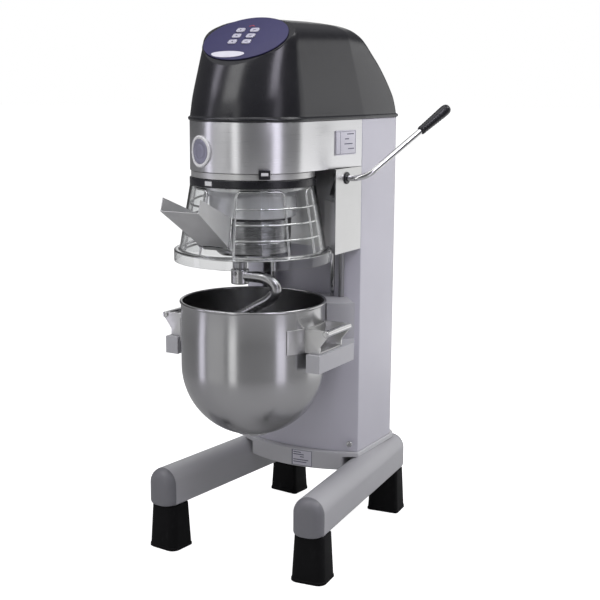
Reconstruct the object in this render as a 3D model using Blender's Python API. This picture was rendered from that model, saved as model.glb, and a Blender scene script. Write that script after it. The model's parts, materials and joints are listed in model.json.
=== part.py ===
"""Commercial planetary stand mixer: floor-standing base, column, head, guard, bowl lift and drive.

Dimensions are millimetres from the bowl axis (X = Y = 0) and the floor (Z = 0).
The front is -Y and the lift lever is on the +X side.
"""
import math

import bmesh
import bpy
from mathutils import Matrix, Vector

MM = 0.001
GAP = 0.35                      # running gap between pieces that touch
OFFSET = (-42.6, -81.6)         # moves the bowl axis so the whole mixer is centred on the origin

# base
LEG_FRONT_X, LEG_BACK_X = 178.3, 128.0
LEG_FRONT_Y, LEG_BACK_Y = -90.0, 413.0
LEG_HALF, LEG_TOP, LEG_BOTTOM = 33.0, 178.0, 98.6
CAP_OUT, CAP_DEEP = 5.0, 20.0
FOOT_TOP, FOOT_FLOOR, FOOT_SETBACK = (32.5, 27.0), (38.0, 32.0), 31.0
BASE_BOTTOM, BASE_TOP = 148.0, 187.6

# column
COL_HALF, COL_CORNER_Y, COL_FRONT_Y, COL_BACK_Y = 142.0, 205.0, 172.0, 400.0
COL_BACK_R = 40.0
COL_BOTTOM, COL_TOP, COL_WALL = 188.0, 910.6, 4.0
WINDOW_HALF, WINDOW_Z, PANEL_Z = 90.0, 430.0, 639.0

# head
HEAD_R, SKIRT_Z0, SKIRT_Z1, SKIRT_T = 126.0, 813.5, 910.6, 3.0
COVER_T = 3.0
COVER_LEVELS = (911.0, 930.0, 960.0, 1012.0, 1044.0, 1074.0, 1087.0, 1095.0, 1102.0, 1107.0)
SLOPE, SLOPE_Y, SLOPE_Z = math.radians(37.0), -26.0, 1068.0
PANEL_A, PANEL_B, PANEL_T, PANEL_RIM = 92.0, 69.5, 2.4, 3.5

# guard
RING_Z0, RING_Z1, RING_R = 785.0, 799.6, 127.0
GUARD_R0, GUARD_R1, GUARD_Z1, GUARD_T = 127.0, 149.0, 655.0, 3.0
FLANGE_R, FLANGE_Z = 160.0, 631.0
GUARD_ARC = 130.0
CHUTE_MOUTH, CHUTE_END, CHUTE_T = (-256.0, 750.0, 43.0), (-128.0, 664.0, 32.0), 1.6
CHUTE_WALLS, CHUTE_LEAN = (25.0, 64.0), 8.0

# drive
MODULE, N_RING, N_PINION = 4.0, 38, 13
ORBIT = MODULE * (N_RING - N_PINION) / 2
SHAFT_R, TOOL_R = 14.0, 11.0
MOTOR_Y, MOTOR_PULLEY_R, MAIN_PULLEY_R, PULLEY_Z = 300.0, 28.0, 88.0, 935.0

# bowl and lift
BOWL_R, RIM_Z, BOWL_Z, BOWL_T = 148.0, 549.0, 266.0, 2.0
LEVER_Y, LEVER_Z, LEVER_R = 135.0, 793.0, 6.0
LEVER_BEND_X, LEVER_TIP = 182.0, (293.0, 302.0, 936.0)
N_SECTOR, RACK_X = 20, (117.0, 127.0)
ARM_X, ARM_Z, ARM_FRONT_Y = (154.0, 184.0), (424.0, 460.0), -52.0
ROD_X, ROD_Y, ROD_R = 76.0, 208.0, 8.0

PART_COLL = bpy.data.collections.new("commercial_stand_mixer")
CUT_COLL = bpy.data.collections.new("cutters")
PALETTE = {
    "leg_paint": ((0.47, 0.47, 0.49), 0.4, 0.45), "cap_grey": ((0.16, 0.16, 0.18), 0.0, 0.5),
    "rubber_black": ((0.02, 0.02, 0.02), 0.0, 0.8), "white_paint": ((0.62, 0.61, 0.66), 0.0, 0.35),
    "brushed_steel": ((0.6, 0.6, 0.61), 1.0, 0.3), "cover_plastic": ((0.06, 0.06, 0.07), 0.0, 0.35),
    "panel_violet": ((0.06, 0.055, 0.14), 0.0, 0.3), "button_grey": ((0.5, 0.5, 0.58), 0.0, 0.4),
    "label_pale": ((0.62, 0.62, 0.68), 0.0, 0.4), "chrome": ((0.8, 0.8, 0.8), 1.0, 0.08),
    "black_plastic": ((0.015, 0.015, 0.017), 0.0, 0.35), "cast_alu": ((0.5, 0.5, 0.5), 1.0, 0.5),
    "clear_plastic": ((0.85, 0.87, 0.87), 0.0, 0.08), "gear_steel": ((0.35, 0.35, 0.36), 1.0, 0.4),
    "carrier_grey": ((0.1, 0.1, 0.11), 0.6, 0.45), "cradle_paint": ((0.5, 0.5, 0.53), 0.2, 0.45),
    "motor_paint": ((0.08, 0.09, 0.12), 0.2, 0.5), "belt_rubber": ((0.02, 0.02, 0.02), 0.0, 0.7),
    "white_plastic": ((0.8, 0.8, 0.82), 0.0, 0.35), "badge_grey": ((0.42, 0.41, 0.5), 0.3, 0.35),
}
MATERIALS = {}


def material(name):
    if name not in MATERIALS:
        colour, metallic, roughness = PALETTE[name]
        mat = bpy.data.materials.new(name)
        mat.use_nodes = True
        bsdf = mat.node_tree.nodes["Principled BSDF"]
        bsdf.inputs["Base Color"].default_value = (*colour, 1.0)
        bsdf.inputs["Metallic"].default_value = metallic
        bsdf.inputs["Roughness"].default_value = roughness
        if name == "clear_plastic":
            bsdf.inputs["Transmission Weight"].default_value = 0.9
        MATERIALS[name] = mat
    return MATERIALS[name]


def place(name, bm, mat=None, pivot=(0.0, 0.0, 0.0)):
    """Turns a millimetre bmesh into a named object whose origin is the pivot."""
    bmesh.ops.recalc_face_normals(bm, faces=bm.faces[:])
    if bm.calc_volume(signed=True) < 0.0:
        bmesh.ops.reverse_faces(bm, faces=bm.faces[:])
    bmesh.ops.translate(bm, verts=bm.verts[:], vec=-Vector(pivot))
    bmesh.ops.scale(bm, verts=bm.verts[:], vec=(MM, MM, MM))
    mesh = bpy.data.meshes.new(name)
    bm.to_mesh(mesh)
    bm.free()
    obj = bpy.data.objects.new(name, mesh)
    obj.location = ((pivot[0] + OFFSET[0]) * MM, (pivot[1] + OFFSET[1]) * MM, pivot[2] * MM)
    if mat:
        mesh.materials.append(material(mat))
        PART_COLL.objects.link(obj)
    else:
        obj.hide_render = True
        obj.display_type = "WIRE"
        CUT_COLL.objects.link(obj)
    return obj


def boolean(obj, tool, operation="DIFFERENCE"):
    mod = obj.modifiers.new(tool.name, "BOOLEAN")
    mod.operation = operation
    mod.solver = "EXACT"
    mod.object = tool


def loft(loops, closed=False):
    """Skins loops of equal length; end loops are capped unless the loft closes on itself."""
    bm = bmesh.new()
    rings = [[bm.verts.new(p) for p in loop] for loop in loops]
    pairs = list(zip(rings, rings[1:])) + ([(rings[-1], rings[0])] if closed else [])
    for a, b in pairs:
        for i in range(len(a)):
            j = (i + 1) % len(a)
            bm.faces.new((a[i], a[j], b[j], b[i]))
    if not closed:
        bm.faces.new(rings[0])
        bm.faces.new(rings[-1][::-1])
    return bm


def prism(outline, z0, z1, chamfer=0.0):
    """Vertical prism from a plan outline, with an optional chamfer on its two ends."""
    if not chamfer:
        return loft([[(x, y, z) for x, y in outline] for z in (z0, z1)])
    small = inset(outline, chamfer)
    loops = [[(x, y, z0) for x, y in small], [(x, y, z0 + chamfer) for x, y in outline],
             [(x, y, z1 - chamfer) for x, y in outline], [(x, y, z1) for x, y in small]]
    return loft(loops)


def inset(outline, d):
    """Moves a counter-clockwise outline inwards by d."""
    out = []
    for i, p in enumerate(outline):
        a, b = Vector(outline[i - 1]), Vector(outline[(i + 1) % len(outline)])
        p = Vector(p)
        n1 = Vector((-(p - a).y, (p - a).x)).normalized()
        n2 = Vector((-(b - p).y, (b - p).x)).normalized()
        m = (n1 + n2).normalized()
        out.append(tuple(p + m * (d / max(0.4, m.dot(n1)))))
    return out


def box(x0, x1, y0, y1, z0, z1, chamfer=0.0):
    return prism([(x0, y0), (x1, y0), (x1, y1), (x0, y1)], z0, z1, chamfer)


def arc(cx, cy, r, a0, a1, n):
    steps = [math.radians(a0 + (a1 - a0) * i / n) for i in range(n + 1)]
    return [(cx + r * math.cos(a), cy + r * math.sin(a)) for a in steps]


def circle(cx, cy, r, n):
    return arc(cx, cy, r, 0.0, 360.0, n)[:-1]


def revolve(profile, n=40, centre=(0.0, 0.0), span=None):
    """Turns a closed (radius, z) profile; span = (start, end) degrees gives a part turn."""
    a0, a1 = span or (0.0, 360.0)
    loops = []
    for i in range(n + 1 if span else n):
        a = math.radians(a0 + (a1 - a0) * i / n)
        loops.append([(centre[0] + r * math.cos(a), centre[1] + r * math.sin(a), z) for r, z in profile])
    bm = loft(loops, closed=not span)
    if min(r for r, z in profile) < 0.01:
        bmesh.ops.remove_doubles(bm, verts=bm.verts[:], dist=0.01)
    return bm


def rod(p0, p1, r, n=16, r1=None):
    """Solid cylinder or cone between two points."""
    p0, p1 = Vector(p0), Vector(p1)
    turn = (p1 - p0).to_track_quat("Z", "Y").to_matrix()
    loops = []
    for p, radius in ((p0, r), (p1, r if r1 is None else r1)):
        loops.append([tuple(p + turn @ Vector((x, y, 0.0))) for x, y in circle(0, 0, radius, n)])
    return loft(loops)


def pipe(path, radii, n=10, closed=False):
    """Round bar swept along a path, with a parallel-carried frame."""
    pts = [Vector(p) for p in path]
    radii = radii if isinstance(radii, (list, tuple)) else [radii] * len(pts)
    count = len(pts)
    tangents = []
    for i in range(count):
        a = pts[i - 1] if (i or closed) else pts[0]
        b = pts[(i + 1) % count] if (i < count - 1 or closed) else pts[-1]
        tangents.append((b - a).normalized())
    side = tangents[0].orthogonal().normalized()
    if closed:
        side = Vector((0, 0, 1))
    loops = []
    for p, t, r in zip(pts, tangents, radii):
        side = (side - t * side.dot(t)).normalized()
        other = t.cross(side)
        loops.append([tuple(p + side * (r * math.cos(a)) + other * (r * math.sin(a)))
                      for a in (2 * math.pi * k / n for k in range(n))])
    return loft(loops, closed=closed)


def smooth_path(points, per=5):
    """Catmull-Rom curve through the points."""
    pts = [Vector(p) for p in points]
    pts = [2 * pts[0] - pts[1]] + pts + [2 * pts[-1] - pts[-2]]
    out = []
    for a, b, c, d in zip(pts, pts[1:], pts[2:], pts[3:]):
        for k in range(per):
            t = k / per
            out.append(0.5 * (2 * b + (c - a) * t + (2 * a - 5 * b + 4 * c - d) * t * t
                              + (3 * b - a - 3 * c + d) * t ** 3))
    out.append(pts[-2])
    return out


def lie_along_x(bm, x0, y, z):
    """Turns a prism built about the Z axis so its axis runs along +X from x0 through (y, z)."""
    turn = Matrix(((0, 0, 1, x0), (1, 0, 0, y), (0, 1, 0, z), (0, 0, 0, 1)))
    bmesh.ops.transform(bm, matrix=turn, verts=bm.verts[:])
    return bm


def gear_outline(teeth, module, internal=False, first=0.0, keep=None):
    """Trapezoid teeth; the tooth (or, for an internal gear, the gap) number 0 points at `first`."""
    pitch, r = 2 * math.pi / teeth, module * teeth / 2
    root, tip = r - 1.25 * module, r + 0.9 * module
    if internal:
        root, tip = r + 1.25 * module, r - 0.9 * module
    out = []
    for k in range(teeth):
        a = math.radians(first) + pitch * (k + (0.5 if internal else 0.0))
        deg = (math.degrees(a) + 180.0) % 360.0 - 180.0
        if keep and not keep[0] <= deg <= keep[1]:
            out += [(keep[2] * math.cos(a + s * pitch), keep[2] * math.sin(a + s * pitch)) for s in (-0.3, 0.3)]
            continue
        for s, radius in ((-0.3, root), (-0.1, tip), (0.1, tip), (0.3, root)):
            out.append((radius * math.cos(a + s * pitch), radius * math.sin(a + s * pitch)))
    return out


# ---------------------------------------------------------------- base and column

def leg_frame(side):
    front = Vector((side * LEG_FRONT_X, LEG_FRONT_Y))
    back = Vector((side * LEG_BACK_X, LEG_BACK_Y))
    along = (back - front).normalized()
    return front, back, along, Vector((along.y, -along.x))


def leg_section(shrink=0.0):
    h, r = LEG_HALF - shrink, 7.0
    low, mid = LEG_BOTTOM + min(shrink, 1.0), LEG_TOP - LEG_HALF
    right = arc(h - r, low + r, r, -90.0, 0.0, 3)
    left = arc(-h + r, low + r, r, 180.0, 270.0, 3)
    return right + arc(0.0, mid, h, 0.0, 180.0, 14) + left


def leg_bar(side, end, stations):
    """Leg section lofted through (distance past the chosen end, shrink) stations."""
    front, back, along, across = leg_frame(side)
    start, way = (front, -along) if end == "front" else (back, along)
    loops = []
    for t, shrink in stations:
        loops.append([(*(start + way * t + across * u), z) for u, z in leg_section(shrink)])
    return loft(loops)


def cap_stations(count=5):
    """Rounded nose of a leg cap: a quarter ellipse from its open end to its tip."""
    quarter = [math.pi / 2 * k / count for k in range(count + 1)]
    return [(CAP_OUT - CAP_DEEP * (1.0 - math.sin(a)), 0.6 + CAP_DEEP * (1.0 - math.cos(a))) for a in quarter]


def foot_outline(a, b, nose):
    """Plan of a foot, rounder at the end that faces the cap's nose (nose is -1 in front, 1 behind)."""
    out = []
    for cx, cy, start in ((1, 1, 0), (-1, 1, 90), (-1, -1, 180), (1, -1, 270)):
        r = 17.0 if cy == nose else 7.0
        out += arc(cx * (a - r), cy * (b - r), r, start, start + 90, 4)
    return out


def build_base():
    for side, name in ((-1, "left"), (1, "right")):
        front, back, along, across = leg_frame(side)
        length = (back - front).length
        short = CAP_OUT - CAP_DEEP - GAP
        place(f"leg_{name}", leg_bar(side, "front", [(-length - short, 0.0), (short, 0.0)]), "leg_paint")
        for end in ("front", "back"):
            place(f"leg_cap_{end}_{name}", leg_bar(side, end, cap_stations()), "cap_grey")
            way = along if end == "front" else -along
            centre = (front if end == "front" else back) + way * FOOT_SETBACK
            loops = []
            for z, size in ((0.0, FOOT_FLOOR), (LEG_BOTTOM - GAP, FOOT_TOP)):
                outline = foot_outline(size[0], size[1], -1 if end == "front" else 1)
                loops.append([(*(centre + across * u + along * v), z) for u, v in outline])
            place(f"foot_{end}_{name}", loft(loops), "rubber_black")

    def leg_inner(y):
        t = (y - LEG_FRONT_Y) / (LEG_BACK_Y - LEG_FRONT_Y)
        return LEG_FRONT_X + (LEG_BACK_X - LEG_FRONT_X) * t - LEG_HALF - 2.0

    low, high = [], []
    for x, y in column_outline(10.0):
        high.append((x, y))
        limit = leg_inner(y)
        low.append((max(-limit, min(limit, x)), y))
    step = LEG_TOP + GAP
    loops = [[(x, y, z) for x, y in plan] for plan, z in
             ((low, BASE_BOTTOM), (low, step), (high, step), (high, BASE_TOP))]
    place("base_casting", loft(loops), "white_paint")


def rounded_rect(a, b, r, n=3):
    out = []
    for cx, cy, start in ((a - r, b - r, 0), (-a + r, b - r, 90), (-a + r, -b + r, 180), (a - r, -b + r, 270)):
        out += arc(cx, cy, r, start, start + 90, n)
    return out


def column_outline(grow=0.0, front_points=12):
    """Counter-clockwise plan: bowed front, flat sides, rounded back."""
    half, front, corner = COL_HALF + grow * 0.5, COL_FRONT_Y - grow * 1.7, COL_CORNER_Y - grow * 0.6
    back, r = COL_BACK_Y + grow * 0.5, COL_BACK_R
    sag = corner - front
    radius = (half * half + sag * sag) / (2 * sag)
    out = []
    for i in range(front_points + 1):
        x = half * (2 * i / front_points - 1)
        out.append((x, front + radius - math.sqrt(radius * radius - x * x)))
    out += arc(half - r, back - r, r, 0.0, 90.0, 6) + arc(-half + r, back - r, r, 90.0, 180.0, 6)
    return out


def build_column():
    shell = place("column_shell", prism(column_outline(), COL_BOTTOM, COL_TOP), "white_paint")
    core = place("column_core", prism(inset(column_outline(), COL_WALL), COL_BOTTOM - 5, COL_TOP + 5))
    slot = place("column_slot", box(-WINDOW_HALF, WINDOW_HALF, 100, 205, WINDOW_Z, PANEL_Z + 5))
    gap = place("column_gap", box(-138.2, 138.2, 100, 205, PANEL_Z, COL_TOP + 5))
    for tool in (core, slot, gap):
        boolean(shell, tool)
    for side, name in ((-1, "left"), (1, "right")):
        place(f"guide_rod_{name}", rod((side * ROD_X, ROD_Y, 405.6), (side * ROD_X, ROD_Y, 814.6), ROD_R), "chrome")
    place("rail_bracket", box(-100, 100, 201, 232, 380, 405, 2.0), "cast_alu")
    y = COL_FRONT_Y + 25.0
    place("column_screw", rod((129.0, y - 6.2, 208), (129.0 + 1.9, y - 11.6, 208), 7.0, 14, 5.5), "chrome")


# ---------------------------------------------------------------- head

def head_outline(d=0.0, back=COL_CORNER_Y - 2.1):
    """Counter-clockwise U-shaped plan of the head, inset by d, open side at the back."""
    r, half = HEAD_R - d, COL_HALF - d
    reach = math.hypot(half, COL_CORNER_Y)
    a = math.degrees(math.atan2(COL_CORNER_Y, half) - math.acos(r / reach))
    x_back = half - (COL_CORNER_Y - back) * 0.075
    return arc(0.0, 0.0, r, -180.0 - a, a, 28) + [(x_back, back), (-x_back, back)]


def cover_outline(z, d=0.0):
    """Plan of the cover at height z, inset by d: elliptical front, sides to a crease, falling back."""
    def at(*values):
        for (z0, v0), (z1, v1) in zip(zip(COVER_LEVELS, values), zip(COVER_LEVELS[1:], values[1:])):
            if z <= z1:
                return v0 + (v1 - v0) * (z - z0) / (z1 - z0)
        return values[-1]
    wide = at(126.0, 124.5, 121.5, 113.0, 108.5, 104.0, 97.0, 84.0, 64.0, 34.0) - d
    deep = at(126.0, 122.0, 114.0, 96.0, 82.0, 70.0, 58.0, 44.0, 30.0, 14.0) - d
    half = at(142.0, 140.0, 136.0, 128.0, 123.0, 118.5, 113.0, 103.0, 84.0, 48.0) - d
    crease = at(213.0, 210.0, 204.0, 195.0, 188.0, 182.0, 176.0, 166.0, 152.0, 130.0)
    rear = at(142.0, 140.0, 136.0, 126.0, 118.5, 112.0, 106.0, 96.0, 76.0, 42.0) - d
    back = at(400.0, 398.0, 388.0, 352.0, 322.0, 288.0, 264.0, 244.0, 216.0, 180.0) - d
    out = [(wide * math.cos(a), deep * math.sin(a)) for a in (math.radians(-180.0 + 6.0 * i) for i in range(31))]
    out.append((half, crease))
    corner = min(COL_BACK_R, (back - crease) * 0.45, rear * 0.6)
    out += arc(rear - corner, back - corner, corner, 0.0, 90.0, 6)
    out += arc(-rear + corner, back - corner, corner, 90.0, 180.0, 6)
    out.append((-half, crease))
    return out


def slope_frame():
    """Matrix of the sloped face: local X across, local Y up the slope, local Z outwards."""
    turn = Matrix.Rotation(SLOPE, 4, "X")
    return Matrix.Translation((0.0, SLOPE_Y, SLOPE_Z)) @ turn


def on_slope(bm):
    bmesh.ops.transform(bm, matrix=slope_frame(), verts=bm.verts[:])
    return bm


def panel_ellipse(grow, n=36):
    a, b = PANEL_A + grow, PANEL_B + grow
    return [(a * math.cos(t), b * math.sin(t)) for t in (2 * math.pi * k / n for k in range(n))]


def build_cover():
    """Moulded shell with a bead round its foot and a sloped elliptical seat for the panel."""
    bead = [[(x, y, z) for x, y in cover_outline(911.0, d)] for d, z in ((0.0, 911.0), (-3.0, 912.5), (-3.0, 919.0))]
    loops = [[(x, y, z) for x, y in cover_outline(z)] for z in (921.0,) + COVER_LEVELS[1:]]
    cover = place("head_cover", loft(bead + loops), "cover_plastic")
    boolean(cover, place("slope_cut", on_slope(box(-200, 200, -160, 160, 0, 120))))
    boolean(cover, place("panel_seat", on_slope(prism(panel_ellipse(PANEL_RIM), -24, -0.02))), "UNION")
    core_loops = [[(x, y, 905.0) for x, y in cover_outline(911.0, COVER_T)]]
    core_loops += [[(x, y, z - (0.0 if z < 1060 else COVER_T)) for x, y in cover_outline(z, COVER_T)]
                   for z in COVER_LEVELS[1:]]
    core = place("cover_core", loft(core_loops))
    boolean(core, place("slope_cut_inner", on_slope(box(-200, 200, -160, 160, -COVER_T, 120))))
    boolean(cover, core)


def build_panel():
    top = GAP + PANEL_T
    panel = place("control_panel", on_slope(prism(panel_ellipse(0.0), GAP, top, 0.8)), "panel_violet")
    wells_mesh = bmesh.new()
    for k in range(6):
        u, v = button_spot(k)
        piece = on_slope(prism([(u + x, v + y) for x, y in rounded_rect(10.4, 7.2, 4.2)], 1.0, top + 2))
        spare = bpy.data.meshes.new("well")
        piece.to_mesh(spare)
        piece.free()
        wells_mesh.from_mesh(spare)
        bpy.data.meshes.remove(spare)
    wells = place("button_wells", wells_mesh)
    boolean(panel, wells)
    for k in range(6):
        u, v = button_spot(k)
        outline = [(u + x, v + y) for x, y in rounded_rect(9.6, 6.4, 3.6)]
        pivot = slope_frame() @ Vector((u, v, top))
        place(f"button_{k + 1}", on_slope(prism(outline, 2.2, top + 1.8, 0.6)), "button_grey", tuple(pivot))
    crescent = []
    for i in range(24):
        a = 2.0 * math.pi * i / 24
        crescent.append((-14.0 + 37.5 * math.cos(a), -52.0 + (8.0 if i < 12 else 12.0) * math.sin(a)))
    place("panel_label", on_slope(prism(crescent, top + 0.3, top + 1.0)), "label_pale")


def button_spot(k):
    return (9.5 if k % 2 else -22.5), (25.0, 6.0, -13.5)[k // 2]


def build_head():
    skirt = place("head_skirt", prism(head_outline(), SKIRT_Z0, SKIRT_Z1), "brushed_steel")
    boolean(skirt, place("skirt_core", prism(head_outline(SKIRT_T, COL_CORNER_Y + 20), SKIRT_Z0 - 5, SKIRT_Z1 + 5)))
    for side, name in ((-1, "left"), (1, "right")):
        outer = [(COL_HALF, COL_CORNER_Y - 2.1), (COL_HALF, 88.0)] + arc(0, 0, 166.0, 34.0, 58.0, 6)
        inner = arc(0, 0, 168.5, 58.0, 35.0, 6) + [(COL_HALF - 2.5, 93.0), (COL_HALF - 2.5, COL_CORNER_Y - 2.1)]
        plan = [(side * x, y) for x, y in outer + inner]
        panel = place(f"side_panel_{name}", prism(plan, PANEL_Z, SKIRT_Z0 - GAP), "brushed_steel")
        if side > 0:
            hole = place("lever_hole", lie_along_x(prism(circle(0, 0, 11.0, 20), 0, 30), 130, LEVER_Y, LEVER_Z))
            boolean(panel, hole)
            boolean(panel, place("sector_notch", box(80.0, 134.0, 80.0, 150.0, 745.0, 820.0)))
    frame_plan = arc(0, 0, 120.0, -217.0, 37.0, 28) + [(98.0, 96.0), (98.0, 380.0), (-98.0, 380.0), (-98.0, 96.0)]
    frame = place("head_frame", prism(frame_plan, 815.0, 826.0), "cast_alu")
    boolean(frame, place("frame_boss", prism(circle(0, 0, 44.0, 28), 820.0, 900.0)), "UNION")
    boolean(frame, place("frame_bore", prism(circle(0, 0, 26.4, 28), 800.0, 920.0)))
    boolean(frame, place("motor_hole", prism(circle(0, MOTOR_Y, 20.0, 20), 800.0, 840.0)))
    for name, z in (("bearing_lower", 829.0), ("bearing_upper", 882.0)):
        place(name, revolve([(SHAFT_R + 0.5, z), (25.8, z), (25.8, z + 14), (SHAFT_R + 0.5, z + 14)], 28),
              "gear_steel")
    badge("badge_ring", [(24.6, 0.4), (31.0, 0.4), (31.0, 3.2), (29.4, 4.4), (24.6, 3.4)], "white_plastic")
    badge("badge_disc", [(0.0, 0.5), (9.0, 0.5), (17.0, 0.5), (24.2, 0.5), (24.2, 2.2), (23.4, 3.0), (16.0, 3.0),
                         (8.0, 3.0), (0.0, 3.0)], "badge_grey")
    y0 = 98.0
    slope = (COL_HALF - HEAD_R) / COL_CORNER_Y
    plate = []
    for y in (y0, y0 + 78.0):
        plate.append((HEAD_R + slope * y + 0.9, y))
    plan = [plate[0], (plate[0][0] + 1.0, y0), (plate[1][0] + 1.0, y0 + 78.0), plate[1]]
    place("rating_plate", prism(plan, 840.0, 890.0), "label_pale")
    a = math.radians(-48.5)
    spot = Vector((math.cos(a), math.sin(a)))
    across = Vector((-spot.y, spot.x))
    corners = [(-11, 1.6), (11, 1.6), (11, 7.2), (-11, 7.2)]
    plan = [tuple(spot * (HEAD_R - 1.2 + v) + across * u) for u, v in corners]
    place("guard_sensor", prism(plan[::-1], 803.0, 821.0, 1.0), "black_plastic")


def badge(name, profile, mat):
    """Round badge on the front left of the skirt, following its curve."""
    a = math.radians(-112.0)
    out = Vector((math.cos(a), math.sin(a), 0.0))
    side = Vector((-out.y, out.x, 0.0))
    bm = revolve(profile, 28)
    for vert in bm.verts:
        u, v, w = vert.co
        angle = a + u / HEAD_R
        normal = Vector((math.cos(angle), math.sin(angle), 0.0))
        vert.co = normal * (HEAD_R + w) + Vector((0, 0, 853.0 + v))
    return place(name, bm, mat)


# ---------------------------------------------------------------- guard

def guard_radius(z):
    return GUARD_R0 + (GUARD_R1 - GUARD_R0) * (RING_Z0 - z) / (RING_Z0 - GUARD_Z1)


def chute_solid(grow, past_mouth=0.0, past_end=0.0, taller=0.0):
    """Tapered block of the chute, grown sideways and below, and stretched past its two ends."""
    (y0, z0, w0), (y1, z1, w1) = CHUTE_MOUTH, CHUTE_END
    loops = []
    for y, t in ((y0 - past_mouth, -past_mouth), (y1 + past_end, y1 - y0 + past_end)):
        k = t / (y1 - y0)
        w, z = w0 + (w1 - w0) * k + grow, z0 + (z1 - z0) * k - grow * 1.2
        top = z0 + (z1 - z0) * k + CHUTE_WALLS[0] + (CHUTE_WALLS[1] - CHUTE_WALLS[0]) * k + taller
        lean = CHUTE_LEAN * (1.0 - max(0.0, min(1.0, k)))
        loops.append([(-w, y, z), (w, y, z), (w, y + lean, top), (-w, y + lean, top)])
    return loft(loops)


def build_guard():
    place("guard_collar", revolve([(100.5, 776.0), (113.5, 776.0), (113.5, 783.6), (107.5, 783.6), (107.5, 800.4),
                                   (124.0, 800.4), (124.0, 812.4), (121.0, 813.0), (121.0, 814.4), (100.5, 814.4)], 40),
          "chrome")
    place("guard_ring", revolve([(109.0, 784.4), (RING_R - 1, 784.4), (RING_R, 786.0), (RING_R, 798.2),
                                 (RING_R - 1, RING_Z1), (109.0, RING_Z1)], 44), "black_plastic")
    top = RING_Z0 - 1.0
    lip = GUARD_Z1
    profile = [(GUARD_R0 - GUARD_T, top), (GUARD_R0 - 0.2, top), (GUARD_R1, lip), (FLANGE_R - 2, lip),
               (FLANGE_R, lip - 2), (FLANGE_R, FLANGE_Z), (FLANGE_R - 2.6, FLANGE_Z),
               (FLANGE_R - 2.6, lip - 3.2), (GUARD_R1 - GUARD_T, lip - 3.2)]
    span = (-90.0 - GUARD_ARC, -90.0 + GUARD_ARC)
    screen = place("guard_screen", revolve(profile, 44, span=span), "clear_plastic")
    boolean(screen, place("chute_hole", chute_solid(1.2, 0.0, 12.0, 2.0)))
    chute = place("chute", chute_solid(0.0), "brushed_steel")
    boolean(chute, place("chute_bore", chute_solid(-CHUTE_T, 20.0, 20.0, 60.0)))
    build_cage()


def build_cage():
    """Welded cage inside the screen: inverted-U wires joined by hoops, the lowest passing below the chute."""
    wire = 2.4

    def ring_path(z, a0, a1, n):
        r = guard_radius(z) - 7.5
        return [(x, y, z) for x, y in arc(0, 0, r, a0 - 90.0, a1 - 90.0, n)]
    cage = place("guard_cage", pipe(ring_path(649.0, -126, 126, 20), wire, 6), "brushed_steel")
    pieces = []
    for z in (745.0, 715.0, 685.0):
        pieces += [ring_path(z, -126, -17, 9), ring_path(z, 17, 126, 9)]
    for a0, a1 in ((-122, -92), (-62, -16), (16, 62), (92, 122)):
        path = []
        for k, (a, z) in enumerate(((a0, 646.5), (a0, 772.0), (a0 + 3, 777.0), (a0 + 0.33 * (a1 - a0), 777.5),
                                    (a1 - 0.33 * (a1 - a0), 777.5), (a1 - 3, 777.0), (a1, 772.0), (a1, 646.5))):
            r = guard_radius(z) - 10.5
            path.append((r * math.sin(math.radians(a)), -r * math.cos(math.radians(a)), z))
        pieces.append(path)
    wires = bpy.data.collections.new("cage_wires")
    CUT_COLL.children.link(wires)
    for k, path in enumerate(pieces):
        obj = place(f"cage_wire_{k}", pipe(path, wire, 6))
        CUT_COLL.objects.unlink(obj)
        wires.objects.link(obj)
    mod = cage.modifiers.new("weld", "BOOLEAN")
    mod.operation, mod.solver, mod.operand_type, mod.collection = "UNION", "EXACT", "COLLECTION", wires


# ---------------------------------------------------------------- drive

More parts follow.
